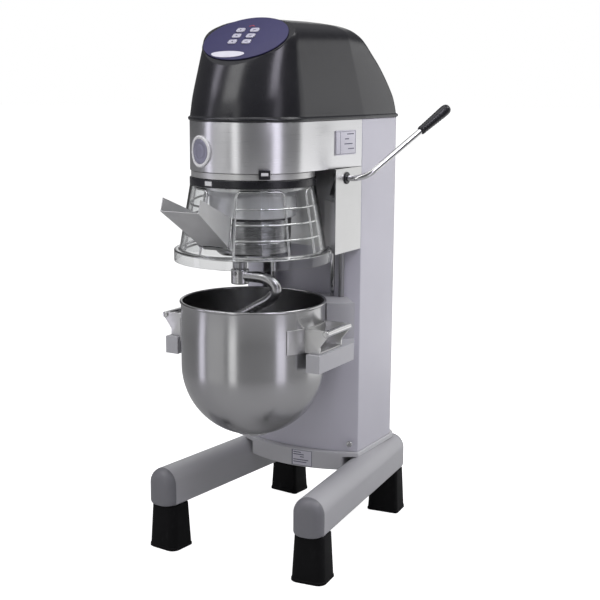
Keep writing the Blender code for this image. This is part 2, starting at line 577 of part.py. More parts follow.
def build_drive():
    drum = place("ring_gear", revolve([(70.0, 719.0), (86.0, 719.0), (88.0, 721.0), (89.0, 762.0), (98.0, 772.0), (98.0, 814.4),
                                       (70.0, 814.4)], 44), "cast_alu")
    boolean(drum, place("ring_teeth", prism(gear_outline(N_RING, MODULE, True, -90.0), 715.0, 752.0)))
    boolean(drum, place("ring_clear", prism(circle(0, 0, 85.0, 36), 750.0, 820.0)))
    carrier = place("planet_carrier", revolve([(0.0, 642.0), (68.0, 642.0), (76.0, 650.0), (78.0, 714.0),
                                               (76.0, 716.0), (0.0, 716.0)], 40), "carrier_grey")
    boolean(carrier, place("shaft_seat", prism(circle(0, 0, SHAFT_R + 0.5, 24), 690.0, 720.0)))
    boolean(carrier, place("tool_seat", prism(circle(0, -ORBIT, TOOL_R + 0.6, 20), 630.0, 730.0)))
    place("main_shaft", rod((0, 0, 690.6), (0, 0, 966.0), SHAFT_R, 24), "gear_steel")
    pulley("main_pulley", (0.0, 0.0), MAIN_PULLEY_R, SHAFT_R + 0.5, 32)
    pivot = (0.0, -ORBIT, 0.0)
    place("tool_shaft", rod((0, -ORBIT, 596.0), (0, -ORBIT, 752.0), TOOL_R, 20), "gear_steel", pivot)
    pinion = [(x, y - ORBIT) for x, y in gear_outline(N_PINION, MODULE, False, -90.0)]
    gear = place("planet_pinion", prism(pinion, 721.0, 746.0), "gear_steel", pivot)
    boolean(gear, place("pinion_bore", prism(circle(0, -ORBIT, TOOL_R + 0.5, 20), 715.0, 750.0)))
    build_hook(pivot)
    place("motor", revolve([(9.5, 650.0), (54.0, 650.0), (62.0, 660.0), (62.0, 798.0), (50.0, 814.6), (9.5, 814.6)],
                           32, (0.0, MOTOR_Y)), "motor_paint")
    spindle = pulley("motor_pulley", (0.0, MOTOR_Y), MOTOR_PULLEY_R, 0.0, 28)
    boolean(spindle, place("motor_spindle", rod((0, MOTOR_Y, 700), (0, MOTOR_Y, 950), 8.0, 16)), "UNION")
    inner = belt_loop(0.7)
    outer = belt_loop(4.7)
    loops = [[(x, y, z) for x, y in plan] for plan, z in
             ((inner, PULLEY_Z + 3.2), (outer, PULLEY_Z + 3.2), (outer, PULLEY_Z + 21.8), (inner, PULLEY_Z + 21.8))]
    place("drive_belt", loft(loops, closed=True), "belt_rubber")


def pulley(name, centre, r, bore, n):
    """Flanged belt pulley, 25 mm wide, solid when it has no bore."""
    z, hub = PULLEY_Z, bore
    profile = [(hub, z), (r + 3.5, z), (r + 3.5, z + 2.5), (r, z + 2.5), (r, z + 22.5), (r + 3.5, z + 22.5),
               (r + 3.5, z + 25.0), (hub, z + 25.0)]
    if r > 60.0:
        web = [(r - 8, z + 25.0), (r - 8, z + 15.0), (26.0, z + 15.0), (26.0, z + 25.0), (hub, z + 25.0)]
        profile = profile[:-1] + web
    if not bore:
        bm = solid_of_revolution(profile[1:-1], n, centre)
    else:
        bm = revolve(profile, n, centre)
    return place(name, bm, "cast_alu", (*centre, 0.0))


def solid_of_revolution(profile, n, centre=(0.0, 0.0)):
    """Loft of circles, for bodies without a bore."""
    return loft([[(x, y, z) for x, y in circle(*centre, r, n)] for r, z in profile])


def belt_loop(d):
    r1, r2 = MAIN_PULLEY_R + d, MOTOR_PULLEY_R + d
    lean = math.degrees(math.asin((r1 - r2) / MOTOR_Y))
    return arc(0, 0, r1, -180.0 - lean, lean, 26) + arc(0, MOTOR_Y, r2, lean, 180.0 - lean, 12)


def build_hook(pivot):
    y = -ORBIT
    path = smooth_path([(0, y, 604), (30, y, 605), (58, y + 1, 603), (78, y + 3, 592), (79, y + 5, 575),
                        (63, y + 7, 558), (34, y + 8, 541), (0, y + 7, 521), (-38, y + 3, 499), (-64, y, 473),
                        (-63, y - 3, 446), (-42, y - 5, 420), (-14, y - 3, 401), (2, y, 394)], 3)
    radii = [11.5] * (len(path) - 3) + [10.0, 8.0, 5.5]
    hook = place("dough_hook", pipe(path, radii, 10), "chrome", pivot)
    boolean(hook, place("hook_sleeve", rod((0, y, 588), (0, y, 622), 18.0, 24)), "UNION")
    boolean(hook, place("hook_socket", rod((0, y, 595.2), (0, y, 630), TOOL_R + 0.6, 20)))
    pin_hole = place("pin_hole", rod((0, y - 24, 610), (0, y + 24, 610), 3.6, 12))
    boolean(hook, pin_hole)
    boolean(bpy.data.objects["tool_shaft"], pin_hole)
    place("bayonet_pin", rod((0, y - 21, 610), (0, y + 21, 610), 3.1, 12), "gear_steel", pivot)


# ---------------------------------------------------------------- bowl and lift

def bowl_wall(r):
    """Outer (radius, z) points from rim to foot: straight wall over a round bottom."""
    centre = BOWL_Z + BOWL_R
    out = [(r, RIM_Z - 6.0), (r, centre)]
    for k in range(1, 8):
        a = math.radians(k * 11.0)
        out.append((r * math.cos(a), centre - r * math.sin(a)))
    return out


def build_bowl():
    outer = [(BOWL_R + 2.2, RIM_Z - 1.0), (BOWL_R + 2.6, RIM_Z - 4.0), (BOWL_R + 1.4, RIM_Z - 6.0)]
    outer += bowl_wall(BOWL_R)
    outer.append((outer[-1][0], BOWL_Z))
    inner = [(r, z) for r, z in bowl_wall(BOWL_R - BOWL_T)][::-1]
    foot = [(outer[-1][0] - 4.0, BOWL_Z), (outer[-1][0] - 4.0, inner[0][1] - BOWL_T)]
    loops = outer + foot + [(0.0, foot[-1][1])]
    loops += [(0.0, inner[0][1])] + inner + [(BOWL_R - BOWL_T, RIM_Z - 1.0), (BOWL_R, RIM_Z)]
    place("bowl", revolve(loops, 36), "brushed_steel")
    for side, name in ((-1, "left"), (1, "right")):
        build_handle(side, name)


def build_handle(side, name):
    """Pad on the bowl wall and two gusset plates with a round bar between their upper corners."""
    low, high = ARM_Z[1] + GAP, 509.0

    def plate(y):
        x0 = math.sqrt((BOWL_R + GAP) ** 2 - min(abs(y - 2.5), abs(y + 2.5)) ** 2) + 0.3
        outline = [(x0, low), (178.0, low), (178.0, low + 14.0), (195.0, high - 12.0), (195.0, high - 2.0),
                   (193.0, high), (x0, high)]
        return loft([[(side * x, yy, z) for x, z in outline] for yy in (y - 2.5, y + 2.5)])
    body = place(f"handle_{name}", plate(-38.0), "brushed_steel")
    boolean(body, place(f"handle_plate_{name}", plate(52.0)), "UNION")
    turn = (-32.0, 21.0) if side > 0 else (159.0, 212.0)
    pad = [(BOWL_R + GAP, low), (BOWL_R + 2.3, low), (BOWL_R + 2.3, high), (BOWL_R + GAP, high)]
    boolean(body, place(f"handle_pad_{name}", revolve(pad, 12, span=turn)), "UNION")
    boolean(body, place(f"handle_bar_{name}", rod((side * 192.0, -43.0, high - 6.0), (side * 192.0, 57.0, high - 6.0),
                                                  6.5)), "UNION")


def build_cradle():
    """Fork under the handles, rising at the back to the slide block on the guide rods."""
    outer = [(ARM_X[1], ARM_FRONT_Y), (ARM_X[1], 96.0), (166.0, 132.0), (134.0, 168.0), (120.0, 186.0),
             (100.0, 186.0), (86.0, 170.0)]
    inner = [(x, y) for x, y in arc(0, 0, ARM_X[0], 0.0, 90.0, 9)]
    right = [(ARM_X[0], ARM_FRONT_Y)] + outer
    plan = right + [(-x, y) for x, y in right[::-1]]
    plan += [(-x, y) for x, y in inner[:-1]] + inner[::-1][:-1] + [(ARM_X[0], 0.0)]
    cradle = place("bowl_cradle", prism(plan, *ARM_Z), "cradle_paint")
    back_out = [(166.0, 132.0), (134.0, 168.0), (120.0, 186.0), (100.0, 186.0), (86.0, 170.0)]
    back_in = arc(0, 0, ARM_X[0], 50.0, 90.0, 6)
    half = [(118.0, 99.5)] + [(150.0, 112.0)] + back_out
    rise = half + [(-x, y) for x, y in half[::-1]] + [(-x, y) for x, y in back_in[:-1]] + back_in[::-1][:-1]
    boolean(cradle, place("cradle_back", prism(rise, 450.0, 535.0)), "UNION")
    boolean(cradle, place("cradle_block", box(-86.0, 86.0, 160.0, 226.0, 440.0, 530.0)), "UNION")
    for side in (-1, 1):
        bore = place(f"cradle_bore_{side}", rod((side * ROD_X, ROD_Y, 400), (side * ROD_X, ROD_Y, 560), ROD_R + 0.6, 18))
        boolean(cradle, bore)


def build_lever():
    pivot = (0.0, LEVER_Y, LEVER_Z)
    start, bend, tip = Vector((RACK_X[0] - 3.0, LEVER_Y, LEVER_Z)), Vector((LEVER_BEND_X, LEVER_Y, LEVER_Z)), \
        Vector(LEVER_TIP)
    way = (tip - bend).normalized()
    reach = 30.0
    corner = [bend - Vector((reach, 0, 0)), bend, bend + way * reach]
    path = [start]
    for k in range(7):
        t = k / 6
        path.append(corner[0] * (1 - t) ** 2 + corner[1] * 2 * t * (1 - t) + corner[2] * t * t)
    grip_start = tip - way * 84.0
    path.append(grip_start + way * 70.0)
    place("lever_rod", pipe(path, LEVER_R, 14), "chrome", pivot)
    stations = ((0.0, 8.6), (5.0, 9.2), (60.0, 11.2), (76.0, 11.2), (81.5, 8.8), (84.0, 5.0))
    turn = way.to_track_quat("Z", "Y").to_matrix()
    loops = [[tuple(grip_start + way * t + turn @ Vector((x, y, 0))) for x, y in circle(0, 0, r, 18)]
             for t, r in stations]
    grip = place("lever_grip", loft(loops), "black_plastic", pivot)
    boolean(grip, place("grip_bore", rod(grip_start - way * 5, grip_start + way * 71.0, LEVER_R + 0.5, 18)))
    bush = revolve([(LEVER_R + 0.6, -4.0), (10.2, -4.0), (10.2, 0.4), (12.5, 0.4), (12.5, 1.8), (11.5, 2.8),
                    (LEVER_R + 0.6, 2.8)], 20)
    place("lever_bush", lie_along_x(bush, COL_HALF, LEVER_Y, LEVER_Z), "black_plastic")
    outline = gear_outline(N_SECTOR, MODULE, False, 0.0, keep=(-128.0, 14.0, 12.0))
    sector = place("sector_pinion", lie_along_x(prism(outline, 0, RACK_X[1] - RACK_X[0]), RACK_X[0], LEVER_Y,
                                                LEVER_Z), "gear_steel", pivot)
    boolean(sector, place("sector_bore", lie_along_x(prism(circle(0, 0, LEVER_R + 0.5, 18), -5, 30), RACK_X[0],
                                                     LEVER_Y, LEVER_Z)))
    build_rack()


def build_rack():
    """Rack behind the sector, cranked inwards to the lift rod that stands on the cradle."""
    pitch_y = LEVER_Y + MODULE * N_SECTOR / 2
    pitch = math.pi * MODULE
    root, tip, back = pitch_y + 1.25 * MODULE, pitch_y - 0.9 * MODULE, 186.0 + 0.5
    side = [(back, 664.0), (back, 806.0), (root, 806.0)]
    for k in range(0, -9, -1):
        z = LEVER_Z + pitch * (k + 0.5)
        side += [(root, z + 0.3 * pitch), (tip, z + 0.1 * pitch), (tip, z - 0.1 * pitch), (root, z - 0.3 * pitch)]
    side.append((root, 664.0))
    rack = place("lift_rack", loft([[(x, y, z) for y, z in side] for x in RACK_X]), "gear_steel")
    boolean(rack, place("rack_foot", box(101.0, RACK_X[1], root - 1.0, back - 0.8, 652.0, 668.0)), "UNION")
    boolean(rack, place("rack_rod", rod((109.5, 179.5, 535.4), (109.5, 179.5, 660.0), 6.0, 14)), "UNION")


for old in list(bpy.data.objects):
    bpy.data.objects.remove(old)
bpy.context.scene.collection.children.link(PART_COLL)
bpy.context.scene.collection.children.link(CUT_COLL)
CUT_COLL.hide_render = True
for build in (build_base, build_column, build_cover, build_panel, build_head, build_guard, build_drive, build_bowl,
              build_cradle, build_lever):
    build()
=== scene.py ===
"""Looks of the commercial stand mixer: shells, wires, bowl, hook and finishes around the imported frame.

Sizes are millimetres from the bowl axis (X = Y = 0) and the floor (Z = 0), as in the CAD source.
The front is -Y and the lift lever is on the +X side.
"""
import json
import math

import bmesh
import bpy
from mathutils import Matrix, Vector


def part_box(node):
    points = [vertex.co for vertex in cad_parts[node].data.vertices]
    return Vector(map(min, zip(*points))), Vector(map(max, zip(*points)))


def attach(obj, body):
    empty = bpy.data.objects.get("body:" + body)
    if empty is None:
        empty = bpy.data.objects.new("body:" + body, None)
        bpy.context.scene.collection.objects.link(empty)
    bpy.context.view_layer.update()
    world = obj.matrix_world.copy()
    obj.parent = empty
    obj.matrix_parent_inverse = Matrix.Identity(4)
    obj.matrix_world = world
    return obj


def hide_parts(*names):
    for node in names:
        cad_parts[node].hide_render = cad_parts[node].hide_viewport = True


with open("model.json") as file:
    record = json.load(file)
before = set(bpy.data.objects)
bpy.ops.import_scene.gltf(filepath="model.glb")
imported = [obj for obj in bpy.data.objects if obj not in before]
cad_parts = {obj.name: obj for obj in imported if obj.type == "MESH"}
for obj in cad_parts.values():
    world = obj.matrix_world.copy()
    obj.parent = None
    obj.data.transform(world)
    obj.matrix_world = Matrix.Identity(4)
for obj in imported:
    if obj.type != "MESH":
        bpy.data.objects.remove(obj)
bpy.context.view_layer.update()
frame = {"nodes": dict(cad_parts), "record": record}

BOWL_LOW, BOWL_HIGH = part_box("bowl")
AXIS = Vector(((BOWL_LOW.x + BOWL_HIGH.x) / 2, (BOWL_LOW.y + BOWL_HIGH.y) / 2, 0.0))
MM = 0.001
GAP = 0.35

# base
LEG_FRONT_X, LEG_BACK_X = 178.3, 128.0
LEG_FRONT_Y, LEG_BACK_Y = -90.0, 413.0
LEG_HALF, LEG_TOP, LEG_BOTTOM = 33.0, 178.0, 98.6
CAP_OUT, CAP_DEEP = 5.0, 20.0
FOOT_TOP, FOOT_FLOOR, FOOT_SETBACK = (32.5, 27.0), (38.0, 32.0), 31.0
BASE_BOTTOM, BASE_TOP = 148.0, 187.6

# column
COL_HALF, COL_CORNER_Y, COL_FRONT_Y, COL_BACK_Y = 142.0, 205.0, 172.0, 400.0
COL_BACK_R = 40.0
COL_BOTTOM, COL_TOP, COL_WALL = 188.0, 910.6, 4.0
WINDOW_HALF, WINDOW_Z, PANEL_Z = 90.0, 430.0, 639.0

# head
HEAD_R, SKIRT_Z0, SKIRT_Z1, SKIRT_T = 126.0, 813.5, 910.6, 3.0
COVER_T = 3.0
COVER_LEVELS = (911.0, 930.0, 960.0, 1012.0, 1044.0, 1074.0, 1087.0, 1095.0, 1102.0, 1107.0)
SLOPE, SLOPE_Y, SLOPE_Z = math.radians(37.0), -26.0, 1068.0
PANEL_A, PANEL_B, PANEL_T, PANEL_RIM = 92.0, 69.5, 2.4, 3.5
BADGE_ANGLE, BADGE_Z = math.radians(-112.0), 853.0
LATCH_ANGLE = math.radians(-48.5)
KEY_U, KEY_V = (-22.5, 9.5), (25.0, 6.0, -13.5)
KEY_CAP, KEY_WELL = (9.6, 6.4, 3.8), (10.4, 7.2, 4.2)
CRESCENT_U, CRESCENT_V, CRESCENT_HALF, CRESCENT_RISE, CRESCENT_DROP = -14.0, -52.0, 37.5, 8.0, 12.0

# guard
RING_Z0, RING_Z1, RING_R, TAB_ANGLE = 785.0, 799.6, 127.0, math.radians(-101.0)
GUARD_R0, GUARD_R1, GUARD_Z1, GUARD_T = 127.0, 149.0, 655.0, 3.0
FLANGE_R, FLANGE_Z = 160.0, 631.0
GUARD_ARC = 130.0
CHUTE_MOUTH, CHUTE_END = (-256.0, 750.0, 43.0), (-128.0, 664.0, 32.0)
CHUTE_WALLS, CHUTE_LEAN = (25.0, 64.0), 8.0
WIRE_R, HOOP_R = 2.4, 2.04
HOOPS, LOW_HOOP, HOOP_GAP, WIRE_GAP = (745.0, 715.0, 685.0), 649.0, 7.5, 10.5
WIRE_SPANS, CAGE_END, CHUTE_CLEAR = ((-122, -92), (-62, -16), (16, 62), (92, 122)), 126, 17

# drive
ORBIT, TOOL_R = 50.0, 11.0
HOOK_R, SLEEVE_R, SLEEVE_Z0, SLEEVE_Z1 = 11.5, 18.0, 588.0, 622.0

# bowl and lift
BOWL_R, RIM_Z, BOWL_Z, BOWL_T = 148.0, 549.0, 266.0, 2.0
LEVER_Y, LEVER_Z, LEVER_R = 135.0, 793.0, 6.0
LEVER_START_X, LEVER_BEND_X, LEVER_TIP = 114.0, 182.0, (293.0, 302.0, 936.0)
ARM_TOP, HANDLE_TOP, HANDLE_X = 460.0, 509.0, 195.0
GRIP_LONG, BEND_REACH = 84.0, 30.0
ROD_X, ROD_Y, ROD_R, ROD_Z0, ROD_Z1 = 76.0, 208.0, 8.0, 405.6, 814.6

# camera: focal length in mm, place in metres from the bowl axis, then heading, tilt and roll in degrees
LENS, CAMERA_PLACE, CAMERA_TURN = 70.54, (1.2525, -2.0129, 0.9931), (29.572, 79.328, 0.345)

# studio: softboxes as (name, azimuth, half angle, radiance, heights, colour), heights and distance in metres
WHITE, VIOLET, LOW, HIGH, BOX_DISTANCE = (1.0, 1.0, 1.0), (0.90, 0.87, 1.0), (0.0, 1.5), (1.5, 3.1), 1.35
SOFTBOXES = (
    ("left_low", -49.0, 5.0, 1.3, LOW, VIOLET),
    ("left_high", -50.0, 6.0, 4.0, HIGH, VIOLET),
    ("front_fill", -25.0, 14.0, 0.35, LOW, WHITE),
    ("front_low", 1.0, 5.0, 1.15, LOW, WHITE),
    ("front_high", -16.0, 13.0, 3.0, HIGH, WHITE),
    ("right_low", 70.0, 7.0, 1.25, LOW, VIOLET),
    ("right_high", 62.0, 8.0, 6.0, HIGH, VIOLET),
    ("rear_box", 145.0, 24.0, 0.8, (0.0, 1.35), WHITE),
    ("rear_left", -150.0, 20.0, 0.5, LOW, WHITE),
)
ROOM_LEVELS = ((0.0, 0.25), (0.46, 0.14), (0.52, 0.10), (0.7, 0.16), (1.0, 0.5))
FLOOR_GLOW = 0.93


# ---------------------------------------------------------------- materials

MATERIALS = {}


def add_node(tree, kind, inputs=(), **settings):
    """New node whose inputs, by name or number, take a value or another node's output."""
    made = tree.nodes.new(kind)
    for name, value in settings.items():
        setattr(made, name, value)
    for name, value in dict(inputs).items():
        if isinstance(value, bpy.types.NodeSocket):
            tree.links.new(value, made.inputs[name])
        else:
            made.inputs[name].default_value = value
    return made


class Surface:
    """A Principled material and the small node helpers that drive it."""

    def __init__(self, name, colour, roughness, metallic=0.0, **sockets):
        self.mat = bpy.data.materials.new(name)
        self.mat.use_nodes = True
        self.tree = self.mat.node_tree
        self.bsdf = self.tree.nodes["Principled BSDF"]
        self.set(**{"Base Color": (*colour, 1.0), "Roughness": roughness, "Metallic": metallic, **sockets})
        self.colour = colour
        MATERIALS[name] = self.mat

    def set(self, **sockets):
        for name, value in sockets.items():
            self.bsdf.inputs[name].default_value = value

    def node(self, kind, inputs=(), **settings):
        return add_node(self.tree, kind, inputs, **settings)

    def coords(self, stretch=(1.0, 1.0, 1.0)):
        place = self.node("ShaderNodeTexCoord").outputs["Object"]
        return self.node("ShaderNodeMapping", {"Vector": place, "Scale": stretch}).outputs[0]

    def noise(self, scale, stretch=(1.0, 1.0, 1.0), detail=4.0, rough=0.55):
        inputs = {"Vector": self.coords(stretch), "Scale": scale, "Detail": detail, "Roughness": rough}
        return self.node("ShaderNodeTexNoise", inputs).outputs["Fac"]

    def remap(self, value, low, high, start=0.3, end=0.7):
        inputs = {"Value": value, "From Min": start, "From Max": end, "To Min": low, "To Max": high}
        return self.node("ShaderNodeMapRange", inputs).outputs[0]

    def tint(self, factor, dark, light):
        ramp = self.node("ShaderNodeValToRGB", {"Fac": factor})
        ramp.color_ramp.elements[0].color = (*[c * dark for c in self.colour], 1.0)
        ramp.color_ramp.elements[1].color = (*[min(1.0, c * light) for c in self.colour], 1.0)
        ramp.color_ramp.elements[0].position, ramp.color_ramp.elements[1].position = 0.3, 0.7
        return ramp.outputs["Color"]

    def mix(self, factor, a, b):
        """Colour a towards colour b, which is an output or three numbers."""
        b = b if isinstance(b, bpy.types.NodeSocket) else (*b, 1.0)
        return self.node("ShaderNodeMix", {0: factor, 6: a, 7: b}, data_type="RGBA").outputs[2]

    def link(self, socket, value):
        self.tree.links.new(value, self.bsdf.inputs[socket])

    def bump(self, height, strength, distance):
        inputs = {"Height": height, "Strength": strength, "Distance": distance}
        self.link("Normal", self.node("ShaderNodeBump", inputs).outputs[0])


def textured(name, colour, roughness, metallic=0.0, tone=(0.94, 1.05, 9.0), rough=(0.06, 40.0),
             grain=(600.0, 0.12, 0.0002), stretch=(1.0, 1.0, 1.0), **sockets):
    """Broad colour drift, finer roughness drift and a fine grain in the bump."""
    s = Surface(name, colour, roughness, metallic, **sockets)
    dark, light, scale = tone
    s.link("Base Color", s.tint(s.noise(scale), dark, light))
    spread, scale = rough
    s.link("Roughness", s.remap(s.noise(scale, stretch), roughness - spread, roughness + spread))
    scale, strength, distance = grain
    s.bump(s.noise(scale, stretch), strength, distance)
    return s


def brushed(name, colour, roughness, anisotropy=0.55, along=(1.0, 1.0, 150.0), strength=0.035):
    """Metal brushed round the vertical axis: fine lines that run level."""
    grain = (14.0, strength, 0.0002)
    s = textured(name, colour, roughness, 1.0, (0.93, 1.06, 14.0), (0.03, 14.0), grain, along)
    s.set(**{"Anisotropic": anisotropy, "Anisotropic Rotation": 0.25})
    fine = s.noise(18.0, tuple(1.0 if k == 1.0 else k * 2.5 for k in along), 2.0)
    s.link("Base Color", s.mix(0.5, s.tint(s.noise(7.0), 0.95, 1.05), s.tint(fine, 0.93, 1.05)))
    tangent = s.node("ShaderNodeTangent", direction_type="RADIAL", axis="Z")
    s.link("Tangent", tangent.outputs[0])
    return s


def painted(name, colour, roughness, peel=0.08, **sockets):
    grain = (420.0, peel, 0.0003)
    return textured(name, colour, roughness, 0.0, (0.97, 1.02, 6.0), (0.04, 25.0), grain, **sockets)


def worn(s, colour, scale, start, end):
    """Scuffs: a sparse second colour where a coarse noise peaks."""
    fleck = s.remap(s.noise(scale, (1.0, 1.0, 0.35), 6.0, 0.65), 0.0, 1.0, start, end)
    s.link("Base Color", s.mix(fleck, s.tint(s.noise(8.0), 0.85, 1.1), colour))


FINISHES = {
    # name: colour, roughness, metallic, tone, roughness drift, bump grain, as textured takes them
    "chute_steel": ((0.62, 0.62, 0.62), 0.42, 0.9, (0.93, 1.05, 12), (0.05, 30), (300, 0.05, 0.0002)),
    "panel_violet": ((0.026, 0.023, 0.095), 0.42, 0.0, (0.95, 1.06, 8), (0.04, 30), (500, 0.05, 0.0002)),
    "button_grey": ((0.5, 0.49, 0.57), 0.42, 0.0, (0.95, 1.04, 30), (0.05, 60), (800, 0.06, 0.0001)),
    "label_pale": ((0.7, 0.69, 0.75), 0.36, 0.0, (0.97, 1.03, 30), (0.05, 60), (900, 0.03, 0.0001)),
    "print_dark": ((0.09, 0.09, 0.14), 0.45, 0.0, (0.8, 1.2, 60), (0.05, 60), (900, 0.03, 0.0001)),
    "mark_red": ((0.42, 0.05, 0.05), 0.4, 0.0, (0.85, 1.1, 60), (0.05, 60), (900, 0.03, 0.0001)),
    "chrome": ((0.66, 0.66, 0.66), 0.13, 1.0, (0.96, 1.03, 10), (0.04, 50), (200, 0.02, 0.0001)),
    "collar_steel": ((0.7, 0.7, 0.69), 0.36, 0.85, (0.96, 1.03, 10), (0.04, 50), (200, 0.03, 0.0001)),
    "wire_steel": ((0.78, 0.78, 0.77), 0.22, 1.0, (0.92, 1.05, 40), (0.05, 80), (400, 0.04, 0.0001)),
    "black_plastic": ((0.01, 0.01, 0.013), 0.3, 0.0, (0.8, 1.3, 12), (0.06, 60), (700, 0.08, 0.0002)),
    "cast_alu": ((0.62, 0.62, 0.63), 0.42, 0.8, (0.85, 1.1, 20), (0.08, 60), (260, 0.25, 0.0004)),
    "belt_rubber": ((0.02, 0.02, 0.02), 0.7, 0.0, (0.7, 1.3, 30), (0.06, 60), (500, 0.3, 0.0003)),
    "white_plastic": ((0.8, 0.8, 0.8), 0.36, 0.0, (0.97, 1.02, 20), (0.04, 50), (700, 0.03, 0.0001)),
    "badge_grey": ((0.3, 0.295, 0.38), 0.36, 0.2, (0.93, 1.06, 40), (0.05, 50), (500, 0.05, 0.0001)),
}


def make_materials():
    for name, finish in FINISHES.items():
        textured(name, *finish)
    painted("leg_paint", (0.46, 0.46, 0.475), 0.42, 0.1, **{"Coat Weight": 0.15, "Coat Roughness": 0.3})
    painted("cap_grey", (0.20, 0.20, 0.215), 0.36, 0.1)
    worn(painted("rubber_black", (0.004, 0.004, 0.0045), 0.6, 0.25, **{"Specular IOR Level": 0.14}),
         (0.012, 0.012, 0.013), 60.0, 0.6, 0.8)
    painted("white_paint", (0.64, 0.632, 0.69), 0.38, 0.06, **{"Coat Weight": 0.2, "Coat Roughness": 0.25})
    painted("base_paint", (0.60, 0.60, 0.61), 0.42, 0.1)
    brushed("brushed_steel", (0.74, 0.74, 0.75), 0.30)
    brushed("bowl_steel", (0.47, 0.47, 0.473), 0.24, 0.6)
    brushed("sheet_steel", (0.66, 0.66, 0.655), 0.34, 0.3)
    textured("cover_plastic", (0.014, 0.014, 0.017), 0.22, 0.0, (0.9, 1.1, 5.0), (0.03, 60.0),
             (900.0, 0.06, 0.0002), **{"Specular IOR Level": 0.55})
    brushed("hook_steel", (0.48, 0.48, 0.485), 0.26, 0.0, (1.0, 1.0, 8.0))
    brushed("gear_steel", (0.34, 0.34, 0.35), 0.36, 0.2)
    brushed("carrier_grey", (0.26, 0.26, 0.265), 0.26, 0.4)
    painted("cradle_paint", (0.50, 0.50, 0.52), 0.42, 0.12)
    painted("motor_paint", (0.08, 0.09, 0.12), 0.5, 0.2)
    make_clear()


def make_clear():
    """Clear moulded plastic that lets light through to what it covers."""
    s = textured("clear_plastic", (0.97, 0.98, 0.98), 0.05, 0.0, (0.98, 1.0, 8.0), (0.02, 12.0),
                 (16.0, 0.04, 0.001), **{"Transmission Weight": 1.0, "IOR": 1.32})
    path = s.node("ShaderNodeLightPath")
    clear = s.node("ShaderNodeBsdfTransparent", {"Color": (0.96, 0.97, 0.97, 1.0)})
    mixer = s.node("ShaderNodeMixShader", {0: path.outputs["Is Shadow Ray"], 1: s.bsdf.outputs[0],
                                           2: clear.outputs[0]})
    s.tree.links.new(mixer.outputs[0], s.tree.nodes["Material Output"].inputs["Surface"])


# ---------------------------------------------------------------- shapes

def outward(bm):
    """Turns the faces of a closed mesh outwards."""
    bmesh.ops.recalc_face_normals(bm, faces=bm.faces[:])
    if bm.calc_volume(signed=True) < 0.0:
        bmesh.ops.reverse_faces(bm, faces=bm.faces[:])


def add_boolean(obj, tool, operation):
    mod = obj.modifiers.new(tool.name, "BOOLEAN")
    mod.operation, mod.solver, mod.object = operation, "EXACT", tool


def add_bevel(obj, width, segments, angle):
    mod = obj.modifiers.new("edges", "BEVEL")
    mod.width, mod.segments = width * MM, segments
    mod.limit_method, mod.angle_limit = "ANGLE", math.radians(angle)


def piece(name, bm, mat, body, nodes=(), sharp=35.0, bevel=0.0, cuts=()):
    """Millimetre bmesh -> shown object on a body, smooth-shaded, with an optional edge bevel."""
    outward(bm)
    obj = raw_object(name, bm, mat)
    for tool, operation in cuts:
        add_boolean(obj, tool, operation)
    if bevel:
        add_bevel(obj, bevel, 3, 40.0)
    if cuts or bevel:
        settle(obj)
    obj.data.shade_smooth()
    obj.data.set_sharp_from_angle(angle=math.radians(sharp))
    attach(obj, body)
    if nodes:
        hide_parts(*nodes)
    return obj


def settle(obj):
    """Bakes the modifiers into the mesh and removes the cutters they used."""
    bpy.context.view_layer.update()
    evaluated = obj.evaluated_get(bpy.context.evaluated_depsgraph_get())
    mesh = bpy.data.meshes.new_from_object(evaluated)
    tools = {mod.object for mod in obj.modifiers if mod.type == "BOOLEAN"}
    obj.modifiers.clear()
    obj.data = mesh
    for tool in tools:
        bpy.data.objects.remove(tool)


def raw_object(name, bm, mat=None):
    bmesh.ops.scale(bm, verts=bm.verts[:], vec=(MM, MM, MM))
    mesh = bpy.data.meshes.new(name)
    bm.to_mesh(mesh)
    bm.free()
    obj = bpy.data.objects.new(name, mesh)
    obj.location = AXIS
    if mat:
        mesh.materials.append(MATERIALS[mat])
    bpy.context.scene.collection.objects.link(obj)
    return obj


def cutter(name, bm):
    outward(bm)
    return raw_object("cut_" + name, bm)


def cut(name, bm):
    return cutter(name, bm), "DIFFERENCE"


def join(name, bm):
    return cutter(name, bm), "UNION"


def merged(*parts):
    """One bmesh holding several closed shells."""
    out = bmesh.new()
    for bm in parts:
        outward(bm)
        spare = bpy.data.meshes.new("spare")
        bm.to_mesh(spare)
        bm.free()
        out.from_mesh(spare)
        bpy.data.meshes.remove(spare)
    return out


def loft(loops, closed=False):
    bm = bmesh.new()
    rings = [[bm.verts.new(p) for p in loop] for loop in loops]
    pairs = list(zip(rings, rings[1:])) + ([(rings[-1], rings[0])] if closed else [])
    for a, b in pairs:
        for i in range(len(a)):
            j = (i + 1) % len(a)
            bm.faces.new((a[i], a[j], b[j], b[i]))
    if not closed:
        bm.faces.new(rings[0])
        bm.faces.new(rings[-1][::-1])
    return bm


def prism(outline, z0, z1):
    return loft([[(x, y, z) for x, y in outline] for z in (z0, z1)])


def inset(outline, d):
    """Moves a counter-clockwise outline inwards by d."""
    out = []
    for i, p in enumerate(outline):
        a, b = Vector(outline[i - 1]), Vector(outline[(i + 1) % len(outline)])
        p = Vector(p)
        n1 = Vector((-(p - a).y, (p - a).x)).normalized()
        n2 = Vector((-(b - p).y, (b - p).x)).normalized()
        m = (n1 + n2).normalized()
        out.append(tuple(p + m * (d / max(0.4, m.dot(n1)))))
    return out


